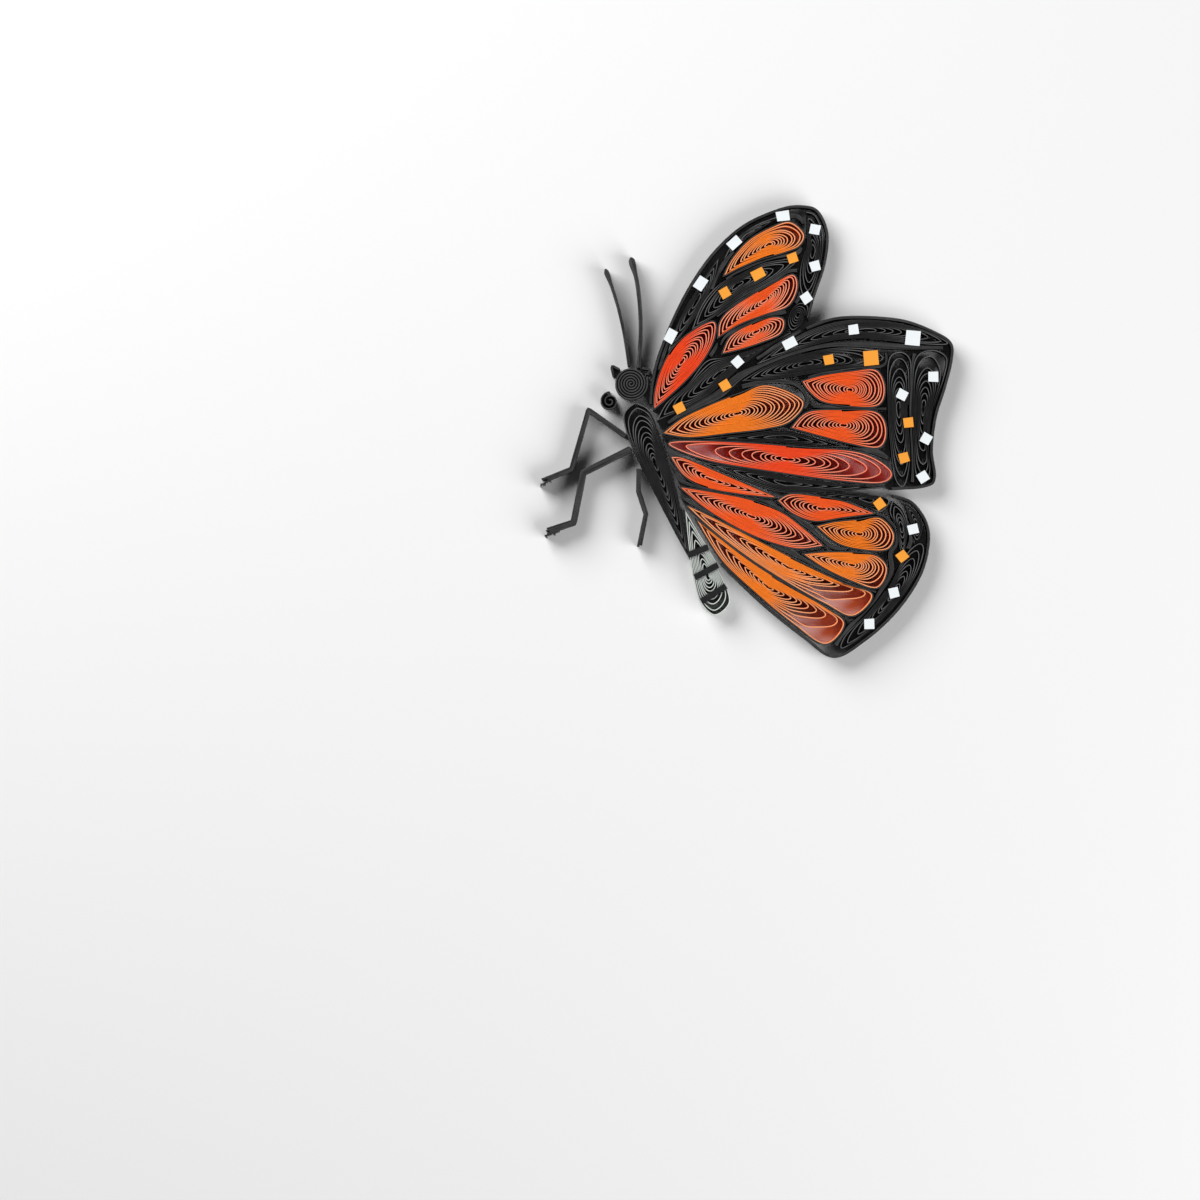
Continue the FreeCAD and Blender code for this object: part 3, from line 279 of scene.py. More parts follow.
# Short strips packed between the cells: a middle line, and the width at each of its points
FAR_FOREWING_PACKING = {
    "brow": dict(
        line=[(712, 289), (717, 277), (722.2, 266), (730.2, 255.4), (734, 251.6)],
        widths=[2.4, 2.4, 4.4, 2.8, 1.6]),
    "crown": dict(
        line=[(777, 221.2), (787, 216.5), (798, 216.5), (803.6, 223.5)],
        widths=[1.6, 4.4, 4.4, 2.4]),
    "under_tip": dict(
        line=[(726, 278.8), (740, 270.8), (760, 262.4), (772, 258.7), (784, 255.8), (797, 252.8),
              (801.5, 247.5)],
        widths=[1.8, 2.4, 1.8, 1.4, 2.4, 4.6, 2.6]),
    "over_upper": dict(
        line=[(717, 316.5), (731, 306.4), (752, 292.6), (775, 280.1), (788, 271.6), (797, 270.4)],
        widths=[1.5, 1.8, 1.5, 1.7, 3.2, 3.4]),
    "over_lower": dict(
        line=[(720.5, 345), (724.5, 337.8), (732, 331.6), (745, 324.7), (765, 316.7), (779, 313.2),
              (786, 311.5)],
        widths=[1.5, 2.2, 2.8, 1.5, 1.1, 3.6, 3.6]),
    "root": dict(
        line=[(717.3, 343), (714.8, 349), (710.2, 356)],
        widths=[1.3, 3.4, 3.2]),
    "corner": dict(
        line=[(799.3, 291.5), (799, 297.5), (795.5, 303)],
        widths=[0.9, 3.6, 2.6]),
    "shoulder": dict(
        line=[(658.5, 370), (662.8, 357.5), (667.2, 344.5), (673, 329)],
        widths=[1.8, 3.2, 2.8, 1.6]),
}
NEAR_FOREWING_PACKING = {
    "leading": dict(
        line=[(668, 423), (680, 415), (700, 404.3), (720, 393.5), (740, 376), (765, 364),
              (795, 352.8), (830, 344.8), (865, 344.3), (890, 346), (915, 347.5), (943, 347.6)],
        widths=[2.8, 4.6, 6, 8.4, 7.2, 3.6, 3, 4.2, 6, 6, 4.2, 2.8]),
    "notch": dict(
        line=[(757, 358.8), (775, 347), (790, 337), (801, 330.5)],
        widths=[2.8, 4.2, 3.6, 2.8]),
    "round_large": dict(
        line=[(742, 386.5), (755, 383.5), (768, 381.7), (785, 381.5), (798, 385.5), (806, 394.5),
              (806.8, 404), (804.6, 408.4)],
        widths=[4, 4.6, 3, 4.2, 3.6, 3.4, 3, 1.6]),
    "between": dict(
        line=[(813, 406), (824, 406.3), (837, 407.5), (850, 408), (866, 408.7), (880, 408.8),
              (886.3, 409)],
        widths=[2.8, 4, 1.8, 0.7, 0.7, 2.2, 2.6]),
    "over_top": dict(
        line=[(886, 353), (886.2, 361.5), (880.5, 366.3), (866, 367.1), (852, 368.5), (835, 371.2),
              (822, 373.2), (808, 377)],
        widths=[2.2, 2.2, 2.6, 1.1, 1.2, 1.6, 1.6, 1.6]),
    "under_middle": dict(
        line=[(853, 448.3), (866, 450), (879, 453), (888, 458.5)],
        widths=[1.6, 3.6, 6, 3.2]),
    "margin": dict(
        line=[(914.5, 353.5), (912.5, 365), (911.6, 385), (910.4, 410), (911.6, 440), (912.8, 465),
              (912.5, 482)],
        widths=[3.6, 1.8, 1.4, 2, 1.8, 2, 3.2]),
}
HINDWING_PACKING = {
    "under_thin": dict(
        line=[(745, 497.1), (760, 499.9), (770, 502.6), (778, 507.3), (784.5, 511.3)],
        widths=[1.1, 2.2, 4, 3.2, 2]),
    "under_upper": dict(
        line=[(789, 514), (796, 518), (803, 522.8), (812, 530), (823, 540), (832, 546.6),
              (846, 549.2)],
        widths=[1.5, 3.2, 4.6, 3.8, 3, 4.2, 2.8]),
    "under_middle": dict(
        line=[(770, 544.2), (790, 552), (800, 557), (815, 565.8), (835, 576.3), (852, 584),
              (868, 589.4), (876, 592)],
        widths=[1.5, 4.6, 4, 3.2, 1.8, 1.2, 1, 2.4]),
    "margin": dict(
        line=[(876.5, 514.3), (883, 515.6), (889.3, 520.5), (895.7, 531), (896.3, 544.5),
              (890.5, 553.3), (891.8, 569), (888, 580), (880.5, 590.8), (873.3, 602.3),
              (866, 611.3), (857.3, 619.5), (850, 626.3), (842.6, 635.5), (835.5, 645)],
        widths=[1.5, 2.2, 2.6, 0.9, 3, 4.4, 4.6, 3.6, 4, 2, 1.4, 2.8, 3.6, 2.4, 4.4]),
    "outer": dict(
        line=[(909.4, 529.5), (910.8, 540), (908.2, 548.6)],
        widths=[1.1, 3.6, 4.2]),
    "root": dict(
        line=[(675, 469.5), (677.6, 475), (681, 481.2), (690, 484.6), (703, 488.5), (712, 490.6)],
        widths=[1.3, 2.8, 2.8, 3.2, 1.3, 1]),
    "side": dict(
        line=[(682.5, 497.5), (692, 503), (703, 509.8), (714, 515.8)],
        widths=[2.4, 3.6, 2.6, 1.1]),
    "thorax": dict(
        line=[(664.8, 441.5), (666.8, 448.6), (667.6, 452)],
        widths=[1.8, 2.6, 1.4]),
}

# Paper squares glued on top: place, turn in degrees and kind
SMALL, LONG, LARGE = "small", "long", "large"
FAR_FOREWING_WHITE = [((783, 216), 8, LONG), ((734.3, 242.8), 42, LONG), ((815, 229.5), -12, SMALL),
                      ((815, 266), 16, SMALL), ((806.5, 298), 35, SMALL), ((700.5, 283.5), 57, LONG),
                      ((670.5, 336), 63, LONG), ((737.5, 362), 42, SMALL)]
FAR_FOREWING_GOLD = [((792.5, 258), 20, SMALL), ((758, 274), 28, LONG), ((725, 292.6), 30, SMALL),
                     ((725, 385.5), 30, SMALL), ((679.5, 408), 28, SMALL)]
NEAR_FOREWING_WHITE = [((789.8, 343.3), 27, LONG), ((853.5, 329.5), 8, SMALL), ((913, 338), -5, LARGE),
                       ((933.5, 376.8), 0, SMALL), ((902, 394.8), -28, SMALL),
                       ((926.3, 438.8), -30, SMALL), ((923, 477), 32, SMALL)]
NEAR_FOREWING_GOLD = [((828.7, 359.7), 12, SMALL), ((870.8, 358), 5, LARGE),
                      ((908.5, 422.5), 6, SMALL), ((903.8, 457.8), 15, SMALL)]
HINDWING_WHITE = [((913, 529.3), 14, SMALL), ((894, 592.8), 14, SMALL), ((869.2, 624), 3, SMALL)]
HINDWING_GOLD = [((879.5, 504), 37, SMALL), ((902.3, 556.2), 38, SMALL)]

# Black bands across the abdomen, from edge to edge
ABDOMEN_BANDS = [((689.2, 554.7), (708.2, 547)), ((694.8, 577.5), (718, 565)),
                 ((701.5, 601.5), (726, 586))]

# Legs, from the thorax to the foot, and antennae, from the head to the club
FRONT_LEG = [(625.6, 436), (588.5, 409.8), (571.5, 469), (541, 481.3)]
MIDDLE_LEG = [(630.5, 449), (583.5, 472.5), (573.5, 522.5), (545, 532)]
HIND_LEG = [(639, 468.5), (638.5, 491), (646, 514), (638.5, 551)]
LEFT_ANTENNA = [(629.2, 365), (624, 332), (617.5, 304), (610, 280), (605.8, 269.5)]
RIGHT_ANTENNA = [(639.5, 366), (641.5, 330), (640.5, 302), (637.3, 277), (632.3, 258)]

# Shape of a coil's turns
CAP_FULLNESS = 1.35      # half width of a turn's round end, against its pressed half width
CAP_SHARPNESS = 6        # how closely a turn keeps to its side before it rounds over
TIP_SWELL = 0.5          # how much fuller the outermost turns' ends are
TIP_SWELL_POWER = 8
OPENING_POWER = 5        # how suddenly the outermost turns of an uneven coil open
FIT_POWER = 4            # how soon the turns take on their outline's own shape
STEP_OUT = 0.12          # share of a turn on which the strip steps out to the next turn
SCAN_STEPS = 70          # steps of the search for a turn's distance from the outline
MITRE_LIMIT = 2.2        # longest tip of an offset outline, against the offset
EYE_RADIUS = 0.13 * MM
EYE_SHARE = 0.2          # largest eye, against the half width of a thin coil
PACKED_SHARE = 0.84      # thickest a strip may be, against its room between two turns
POINT_SPACING = 0.26 * MM
EVEN_TURNS = (0.9, 0.9)
LOOSENESS = 0.22         # how far a turn may wander from its even place, in turns
OPEN_FROM = 1.1          # gap at which a turn counts as open, against the pressed gap
OPEN_OVER = 1.4          # how much wider it gets before it counts as wide open

# The strips between the cells
CELL_MARGIN = 0.2 * MM   # room kept around a coloured coil for its black strip
WRAP_WALL = 0.14 * MM
WRAP_GAP = 0.06 * MM
EDGING_WALL = 0.4 * MM
EDGING_LAYERS = 3
PACKING_LAYER = 0.22 * MM
LAYER_SHARE = 0.86       # how much of its room a glued layer fills
LAYER_SWAY = 0.05        # how far a glued layer leaves its place, against its room
SHARP_DEGREES = 40

# The sheets laid on top
SQUARE_SIDES = {SMALL: (1.45 * MM, 1.45 * MM), LONG: (1.95 * MM, 1.45 * MM),
                LARGE: (2.2 * MM, 2.2 * MM)}
SQUARE_CURL = 0.05 * MM
BAND_CURL = 0.02 * MM
BAND_WIDTH = 0.9 * MM
CUT_PLAY = 0.05 * MM     # how far a hand-cut corner is out of square

# The head, the tongue rolled at its side and the pinched palps, by direction and length
HEAD_SEAT = (631, 401)
HEAD_RADIUS = 2.55 * MM
HEAD_TURNS = 6
HEAD_STEPS = 44          # points along one turn
HEAD_START = 0.4
HEAD_EYE = 0.07          # radius of its eye, against the head's
HEAD_WALL = 0.21 * MM
SEAT_GAP = 0.04 * MM
TONGUE_DEGREES = 220
TONGUE_RADIUS = 1.5 * MM
TONGUE_TURNS = 2.1
TONGUE_TAPER = 0.82      # share of its radius that the tongue loses on its way to the middle
TONGUE_STEPS = 90
TONGUE_WALL = 0.17 * MM
SPIRAL_EDGE_HIGHLIGHT = 0.35       # share of painted highlight on a spiral's top edge
PALPS = ((144, 1.1 * MM), (42, 0.7 * MM))
PALP_HALF_ANGLE = 0.19
PALP_LEAN = 0.1
PALP_SINK = 0.1 * MM
PALP_WALL = 0.34 * MM

# Antennae: route, stem and club. Legs: route, wall and torn fibres
ANTENNAE = {"left_antenna": (LEFT_ANTENNA, 0.45 * MM, 0.75 * MM),
            "right_antenna": (RIGHT_ANTENNA, 0.62 * MM, 1.0 * MM)}
CLUB_PLACE = 0.8         # millimetres from the tip to the club's middle
CLUB_LENGTH = 1.1
CLUB_ROUNDING = 0.45
LEGS = {"front_leg": (FRONT_LEG, 0.74 * MM, 7), "middle_leg": (MIDDLE_LEG, 1.0 * MM, 10),
        "hind_leg": (HIND_LEG, 0.74 * MM, 0)}
LEG_LAYERS = 4
FIBRE_SPACING = 0.25 * MM

# Lights, by place and side
KEY_PLACE = (-0.32, 0.32, 0.33)
SIDE_PLACE = (0.34, -0.22, 0.3)
LIGHT_SIDE = 0.42


def unit(vectors):
    length = np.maximum(np.linalg.norm(vectors, axis=-1, keepdims=True), 1e-12)
    return vectors / length


def right_of(ways):
    return np.stack([ways[..., 1], -ways[..., 0]], -1)


def smooth_line(points, corners=(), closed=True, spacing=POINT_SPACING):
    """A curve through the points, with a sharp corner at the numbered ones."""
    count = len(points)
    curve = []
    for index in range(count if closed else count - 1):
        p1, p2 = points[index], points[(index + 1) % count]
        p0 = points[index - 1] if closed or index else p1
        p3 = points[(index + 2) % count] if closed or index + 2 < count else p2
        if index in corners:
            p0 = p1
        if (index + 1) % count in corners:
            p3 = p2
        steps = max(2, round(float(np.linalg.norm(p2 - p1)) / spacing))
        t = (np.arange(steps) / steps)[:, None]
        curve.append(p1 + 0.5 * ((p2 - p0) * t + (2 * p0 - 5 * p1 + 4 * p2 - p3) * t ** 2
                                 + (3 * p1 - p0 - 3 * p2 + p3) * t ** 3))
    if not closed:
        curve.append(points[-1:])
    return np.concatenate(curve)


def signed_area(points):
    after = np.roll(points, -1, 0)
    return float((points[:, 0] * after[:, 1] - after[:, 0] * points[:, 1]).sum() / 2)


def offset_outline(points, distance):
    """Move a closed outline outward by a distance, or inward where it is negative."""
    first = right_of(unit(points - np.roll(points, 1, 0)))
    second = right_of(unit(np.roll(points, -1, 0) - points))
    across = (first + second) * (1 if signed_area(points) > 0 else -1)
    length = np.maximum(np.linalg.norm(across, axis=1, keepdims=True), 1e-6)
    return points + distance * np.minimum(2 / length, MITRE_LIMIT) * across / length


def beside(line, distance):
    """An open line moved to its right by a distance, which may differ from point to point."""
    ways = unit(np.gradient(line, axis=0))
    return line + right_of(ways) * np.asarray(distance).reshape(-1, 1)


def distance_to_outline(points, outline):
    along = np.roll(outline, -1, 0) - outline
    away = points[:, None, :] - outline[None]
    share = np.clip((away * along).sum(2) / np.maximum((along ** 2).sum(1), 1e-18), 0, 1)
    gap = away - share[..., None] * along
    return np.sqrt((gap ** 2).sum(2)).min(1)


class StraightFrame:
    """Coordinates about a coil's eye."""

    def __init__(self, eye):
        self.eye = eye

    def inside(self, points):
        return points - self.eye

    def outside(self, points):
        return points + self.eye


class BentFrame:
    """Coordinates about the eye of a coil that is bent to an arc: along the arc and across it."""

    def __init__(self, eye, first, last):
        (ax, ay), (bx, by), (cx, cy) = first, eye, last
        twice = 2 * (ax * (by - cy) + bx * (cy - ay) + cx * (ay - by))
        a2, b2, c2 = ax * ax + ay * ay, bx * bx + by * by, cx * cx + cy * cy
        self.middle = np.array([(a2 * (by - cy) + b2 * (cy - ay) + c2 * (ay - by)) / twice,
                                (a2 * (cx - bx) + b2 * (ax - cx) + c2 * (bx - ax)) / twice])
        self.radius = float(np.linalg.norm(eye - self.middle))
        self.start = math.atan2(by - self.middle[1], bx - self.middle[0])

    def inside(self, points):
        away = points - self.middle
        angle = np.arctan2(away[..., 1], away[..., 0]) - self.start
        angle = (angle + math.pi) % (2 * math.pi) - math.pi
        return np.stack([self.radius * angle, self.radius - np.linalg.norm(away, axis=-1)], -1)

    def outside(self, points):
        angle = self.start + points[..., 0] / self.radius
        reach = self.radius - points[..., 1]
        return self.middle + np.stack([np.cos(angle), np.sin(angle)], -1) * reach[..., None]


class Coil:
    """The turns of one rolled strip inside an outline, counted outward from its eye."""

    def __init__(self, outline, frame, tips, turns, even):
        self.frame = frame
        self.turns = turns
        rim = frame.inside(outline)
        rim = np.roll(rim, -int(np.linalg.norm(rim, axis=1).argmin()), 0)
        self.reach = np.linalg.norm(rim, axis=1)
        self.ways = rim / self.reach[:, None]
        half_width = float(distance_to_outline(np.zeros((1, 2)), rim)[0])
        self.core = min(EYE_RADIUS, EYE_SHARE * half_width)
        self.pitch = (half_width - self.core) / turns
        self.shares = np.linspace(1, 0, SCAN_STEPS)
        probes = (rim[:, None, :] * self.shares[None, :, None]).reshape(-1, 2)
        depth = distance_to_outline(probes, rim).reshape(len(rim), SCAN_STEPS)
        self.depth = np.maximum.accumulate(depth, axis=1)
        inner, outer = (frame.inside(tip[None])[0] for tip in tips)
        lengths = np.array([np.linalg.norm(inner), np.linalg.norm(outer)])
        cosines = self.ways @ np.stack([inner / lengths[0], outer / lengths[1]], 1)
        nearer = cosines.argmax(1)
        self.cosine = cosines.max(1)
        self.length = lengths[nearer]
        self.even = np.array(even)[nearer]
        self.full = self.rounded(np.full((1, len(rim)), float(turns)))[0]

    def pressed(self, turn):
        """How far out each turn lies if it keeps its layers' distance from the outline."""
        layers = (self.turns - turn) * self.pitch
        out = np.empty_like(turn)
        for corner, depth in enumerate(self.depth):
            out[:, corner] = np.interp(layers[:, corner], depth, self.shares) * self.reach[corner]
        return np.maximum(out, self.core)

    def rounded(self, turn):
        """The same places, where a turn also rounds over before it gets to the tip."""
        share = np.clip(turn / self.turns, 0, 1)
        swell = 1 + TIP_SWELL * share ** TIP_SWELL_POWER
        opened = self.even * share + (1 - self.even) * share ** OPENING_POWER
        cap_length = swell * (self.core + (self.length - self.core) * opened)
        cap_width = swell * CAP_FULLNESS * (self.core + turn * self.pitch)
        cap = 1 / np.sqrt((self.cosine / cap_length) ** 2 + (1 - self.cosine ** 2) / cap_width ** 2)
        side = self.pressed(turn)
        return (side ** -CAP_SHARPNESS + cap ** -CAP_SHARPNESS) ** (-1 / CAP_SHARPNESS)

    def radius(self, turn):
        turn = np.maximum(turn, 0.0)
        share = np.clip(turn / self.turns, 0, 1)
        return self.rounded(turn) * (self.reach / self.full) ** (share ** FIT_POWER)

    def strip(self, wall, play, draw):
        """The strip's outer and inner line, its top edge and how open its turns lie, which sets the painted
        highlight on its top edge.
        """
        corners = len(self.reach)
        phase = np.arange(corners) / corners
        ramp = np.clip(phase / STEP_OUT, 0, 1)
        ramp = ramp * ramp * (3 - 2 * ramp)
        turn = np.arange(self.turns)[:, None] + ramp[None]
        loose = np.array([draw.uniform(-1, 1) for _ in range(self.turns + 1)])
        swing = np.interp(turn, np.arange(self.turns + 1), loose) * np.sin(2 * math.pi * phase)
        inward = np.clip((self.turns - turn) / 2, 0, 1)
        turn = np.clip(turn + LOOSENESS * swing * inward, 0.0, self.turns)
        outer = self.radius(turn)
        room = outer - np.where(turn > 1, self.radius(turn - 1), 0.0)
        outer_points = (outer[..., None] * self.ways).reshape(-1, 2)
        tangent = unit(np.gradient(outer_points, axis=0))
        ways = np.tile(self.ways, (self.turns, 1))
        square_on = np.abs(tangent[:, 0] * ways[:, 1] - tangent[:, 1] * ways[:, 0])
        room = room.ravel()
        gap = np.maximum(room * square_on, 1e-7)
        thick = np.minimum(wall / gap, PACKED_SHARE) * room
        inner_points = ways * np.maximum(outer.ravel() - thick, self.core * 0.2)[:, None]
        # The more open a turn lies, the stronger the painted highlight on its top edge.
        edge_highlight = np.clip((gap / self.pitch - OPEN_FROM) / OPEN_OVER, 0, 1)
        dips = np.array([draw.uniform(0, 1) for _ in range(2 * self.turns + 2)])
        top = STRIP_TOP - play * np.interp(turn.ravel() * 2, np.arange(len(dips)), dips)
        return self.frame.outside(outer_points), self.frame.outside(inner_points), top, edge_highlight


class StripMesh:
    """Gathers strips that stand on edge into one mesh."""

    def __init__(self):
        self.points, self.faces, self.edge_highlight = [], [], []
        self.count = 0

    def add(self, outer, inner, top, edge_highlight=0.0, closed=False, low=0.0):
        size = len(outer)
        top = np.broadcast_to(np.asarray(top, float), (size,))
        edge_highlight = np.broadcast_to(np.asarray(edge_highlight, float), (size,))
        rails = [(outer, np.full(size, low)), (outer, top), (inner, top), (inner, np.full(size, low))]
        rings = np.stack([np.column_stack([line, height]) for line, height in rails], 1)
        self.points.append(rings.reshape(-1, 3))
        # Each point keeps the share of painted highlight for its top edge.
        self.edge_highlight.append(np.repeat(edge_highlight, 4))
        index = self.count + np.arange(size * 4).reshape(size, 4)
        here, after = (index, np.roll(index, -1, 0)) if closed else (index[:-1], index[1:])
        for side in range(4):
            other = (side + 1) % 4
            self.faces.append(np.stack([here[:, side], after[:, side], after[:, other], here[:, other]], 1))
        if not closed:
            self.faces.append(index[:1, ::-1])
            self.faces.append(index[-1:])
        self.count += size * 4

    def add_sheet(self, corners, low, high, curl, steps=4):
        """A flat square of paper with its corners lifted a little."""
        share = np.linspace(0, 1, steps)
        u, v = (grid.ravel() for grid in np.meshgrid(share, share, indexing="ij"))
        a, b, c, d = (np.array(corner) for corner in corners)
        flat = (np.outer((1 - u) * (1 - v), a) + np.outer(u * (1 - v), b)
                + np.outer(u * v, c) + np.outer((1 - u) * v, d))
        lift = curl * ((2 * u - 1) ** 2 * (2 * v - 1) ** 2)
        lower = np.column_stack([flat, low + lift])
        upper = np.column_stack([flat, high - curl + lift])
        index = self.count + np.arange(steps * steps).reshape(steps, steps)
        cells = np.stack([index[:-1, :-1], index[1:, :-1], index[1:, 1:], index[:-1, 1:]], -1).reshape(-1, 4)
        self.faces += [cells[:, ::-1], cells + steps * steps]
        rim = np.concatenate([index[:-1, 0], index[-1, :-1], index[:0:-1, -1], index[0, :0:-1]])
        after = np.roll(rim, -1)
        self.faces.append(np.stack([rim, after, after + steps * steps, rim + steps * steps], 1))
        self.points += [lower, upper]
        self.edge_highlight.append(np.zeros(2 * steps * steps))
        self.count += 2 * steps * steps

    def piece(self, name, material, nodes, slot):
        """Turn the strips into one object that stands for the given nodes."""
        mesh = bpy.data.meshes.new(name)
        faces = np.concatenate([face.reshape(-1, 4) for face in self.faces])
        mesh.from_pydata(np.concatenate(self.points).tolist(), [], faces.tolist())
        # Stored for the paper material, which paints the top edge's highlight by it.
        attribute = mesh.attributes.new("edge_highlight", "FLOAT", "POINT")
        attribute.data.foreach_set("value", np.concatenate(self.edge_highlight).astype(np.float32))
        work = bmesh.new()
        work.from_mesh(mesh)
        bmesh.ops.recalc_face_normals(work, faces=work.faces)
        work.to_mesh(mesh)
        work.free()
        mesh.shade_smooth()
        mesh.set_sharp_from_angle(angle=math.radians(SHARP_DEGREES))
        mesh.materials.append(material)
        piece = bpy.data.objects.new(name, mesh)
        bpy.context.scene.collection.objects.link(piece)
        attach(piece, "root")
        if nodes:
            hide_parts(*nodes)
        return piece


def coil_outline(form, label):
    """A coil's dense outline, with its sharp corners kept."""
    points = plans([form["inner"]] + form["side"] + [form["outer"]] + form["back"])
    corners = {0}
    if label in PINCHED_AT_BOTH_ENDS:
        corners.add(1 + len(form["side"]))
    if label in ROUND_AT_BOTH_ENDS:
        corners = set()
    return smooth_line(points, corners)


def roll_coil(strips, form, label, inset, wall, play):
    """Add one rolled and pinched strip, set in from its outline."""
    outline = offset_outline(coil_outline(form, label), inset)
    eye, inner, outer = plans([form["eye"], form["inner"], form["outer"]])
    bend = BentFrame(eye, inner, outer) if form.get("bent") else StraightFrame(eye)
    coil = Coil(outline, bend, (inner, outer), form["turns"], form.get("even", EVEN_TURNS))
    strips.add(*coil.strip(wall, play, random.Random(label)))


def add_layers(strips, line, width, layers, draw, ragged=0.0, first=0.0):
    """Add glued layers of strip along an open line, from one side of it to the other."""
    room = np.broadcast_to(np.asarray(width, float), (len(line),)) / layers
    lengths = np.concatenate([[0], np.cumsum(np.linalg.norm(np.diff(line, axis=0), axis=1))])
    play = paper().height_play
    for layer in range(layers):
        place = first + room * (layer + 0.5)
        stop = lengths[-1] - draw.uniform(0, 1) * ragged
        kept = lengths <= stop
        places = np.linspace(0, lengths[-1], 9)
        dips = np.interp(lengths, places, [draw.uniform(0, 1) for _ in places])
        places = np.linspace(0, lengths[-1], 12)
        sway = np.interp(lengths, places, [draw.uniform(-1, 1) for _ in places])
        middle = place + sway * room * LAYER_SWAY
        half = room * LAYER_SHARE / 2
        # Layers that sit lower get a stronger painted highlight on their top edge.
        edge_highlight = 0.05 + 0.4 * dips
        strips.add(beside(line, middle - half)[kept], beside(line, middle + half)[kept],
                   (STRIP_TOP - play * dips)[kept], edge_highlight[kept])


def paper():
    return bpy.context.scene.butterfly_paper


def stage_settings():
    return bpy.context.scene.butterfly_stage


# Materials

def node(tree, kind, **values):
    """Add a node, with its settings and its sockets' own values."""
    made = tree.nodes.new(kind)
    for name, value in values.items():
        if hasattr(made, name):
            setattr(made, name, value)
        else:
            made.inputs[name.replace("_", " ")].default_value = value
    return made


def paper_fibre_group():
    """The look of dyed paper: cloudy colour, and a top edge a little paler than the face, with a painted
    highlight where the turns lie open.
    """
    if "Paper Fibre" in bpy.data.node_groups:
        return bpy.data.node_groups["Paper Fibre"]
    tree = bpy.data.node_groups.new("Paper Fibre", "ShaderNodeTree")
    for name, kind in (("Face Colour", "NodeSocketColor"), ("Pressed Edge", "NodeSocketColor"),
                       ("Open Edge Highlight", "NodeSocketColor"), ("Cloudiness", "NodeSocketFloat")):
        tree.interface.new_socket(name, in_out="INPUT", socket_type=kind)
    for name, kind in (("Colour", "NodeSocketColor"), ("Roughness", "NodeSocketFloat"),
                       ("Height", "NodeSocketFloat")):
        tree.interface.new_socket(name, in_out="OUTPUT", socket_type=kind)
    given = node(tree, "NodeGroupInput")
    out = node(tree, "NodeGroupOutput")
    place = node(tree, "ShaderNodeTexCoord")
    cloud = node(tree, "ShaderNodeTexNoise", Scale=900.0, Detail=4.0)
    fibre = node(tree, "ShaderNodeTexNoise", Scale=7000.0, Detail=3.0, Roughness=0.65)
    # Faces turned upward take the top-edge colour, which carries the painted highlight.
    shape = node(tree, "ShaderNodeNewGeometry")
    upward = node(tree, "ShaderNodeSeparateXYZ")
    on_top = node(tree, "ShaderNodeMath", operation="GREATER_THAN")
    on_top.inputs[1].default_value = 0.6
    opened = node(tree, "ShaderNodeAttribute", attribute_name="edge_highlight")
    # Mix the slightly paler pressed edge with the open edge's painted highlight, by the share stored on each
    # point.
    edge = node(tree, "ShaderNodeMix", data_type="RGBA")
    faced = node(tree, "ShaderNodeMix", data_type="RGBA")
    shade = node(tree, "ShaderNodeMapRange", To_Min=-1.0, To_Max=1.0)
    weak = node(tree, "ShaderNodeMath", operation="MULTIPLY_ADD")
    weak.inputs[2].default_value = 1.0
    tinted = node(tree, "ShaderNodeVectorMath", operation="SCALE")
    rough = node(tree, "ShaderNodeMapRange", To_Min=0.55, To_Max=0.8)
    link = tree.links.new
    for texture in (cloud, fibre):
        link(place.outputs["Object"], texture.inputs["Vector"])
    link(shape.outputs["Normal"], upward.inputs[0])
    link(upward.outputs["Z"], on_top.inputs[0])
    link(opened.outputs["Fac"], edge.inputs["Factor"])
    link(given.outputs["Pressed Edge"], edge.inputs["A"])
    link(given.outputs["Open Edge Highlight"], edge.inputs["B"])
    link(on_top.outputs[0], faced.inputs["Factor"])
    link(given.outputs["Face Colour"], faced.inputs["A"])
    link(edge.outputs["Result"], faced.inputs["B"])
    link(cloud.outputs["Fac"], shade.inputs["Value"])
    link(shade.outputs["Result"], weak.inputs[0])
    link(given.outputs["Cloudiness"], weak.inputs[1])
    link(faced.outputs["Result"], tinted.inputs[0])
    link(weak.outputs[0], tinted.inputs["Scale"])
    link(fibre.outputs["Fac"], rough.inputs["Value"])
    link(tinted.outputs[0], out.inputs["Colour"])
    link(rough.outputs["Result"], out.inputs["Roughness"])
    link(fibre.outputs["Fac"], out.inputs["Height"])
    return tree


def paper_material(name, face, pressed_edge, open_edge_highlight, cloudiness=0.25, gloss=0.3):
    """Dyed paper with its own face colour, a slightly paler pressed top edge and a painted highlight on its
    open top edges.
    """
    name = "dyed_" + name
    if name in bpy.data.materials:
        return bpy.data.materials[name]
    material = bpy.data.materials.new(name)
    material.use_nodes = True
    tree = material.node_tree
    shader = tree.nodes["Principled BSDF"]
    fibre = node(tree, "ShaderNodeGroup", node_tree=paper_fibre_group())
    fibre.inputs["Face Colour"].default_value = (*face, 1)
    fibre.inputs["Pressed Edge"].default_value = (*pressed_edge, 1)
    fibre.inputs["Open Edge Highlight"].default_value = (*open_edge_highlight, 1)
    fibre.inputs["Cloudiness"].default_value = cloudiness
    bump = node(tree, "ShaderNodeBump", Strength=0.35, Distance=0.00003)
    shader.inputs["Specular IOR Level"].default_value = gloss
    tree.links.new(fibre.outputs["Colour"], shader.inputs["Base Color"])
    tree.links.new(fibre.outputs["Roughness"], shader.inputs["Roughness"])
    tree.links.new(fibre.outputs["Height"], bump.inputs["Height"])
    tree.links.new(bump.outputs["Normal"], shader.inputs["Normal"])
    return material


def paler(colour, share, towards=(1.0, 0.72, 0.5)):
    """An edge colour: the paper's own, part of the way to a pale tint; small shares make the top edge
    slightly paler, larger ones are painted highlight.
    """
    # Each channel moves toward the pale tint: painted highlight on the top edge.
    return tuple(own + (core - own) * share for own, core in zip(colour, towards))


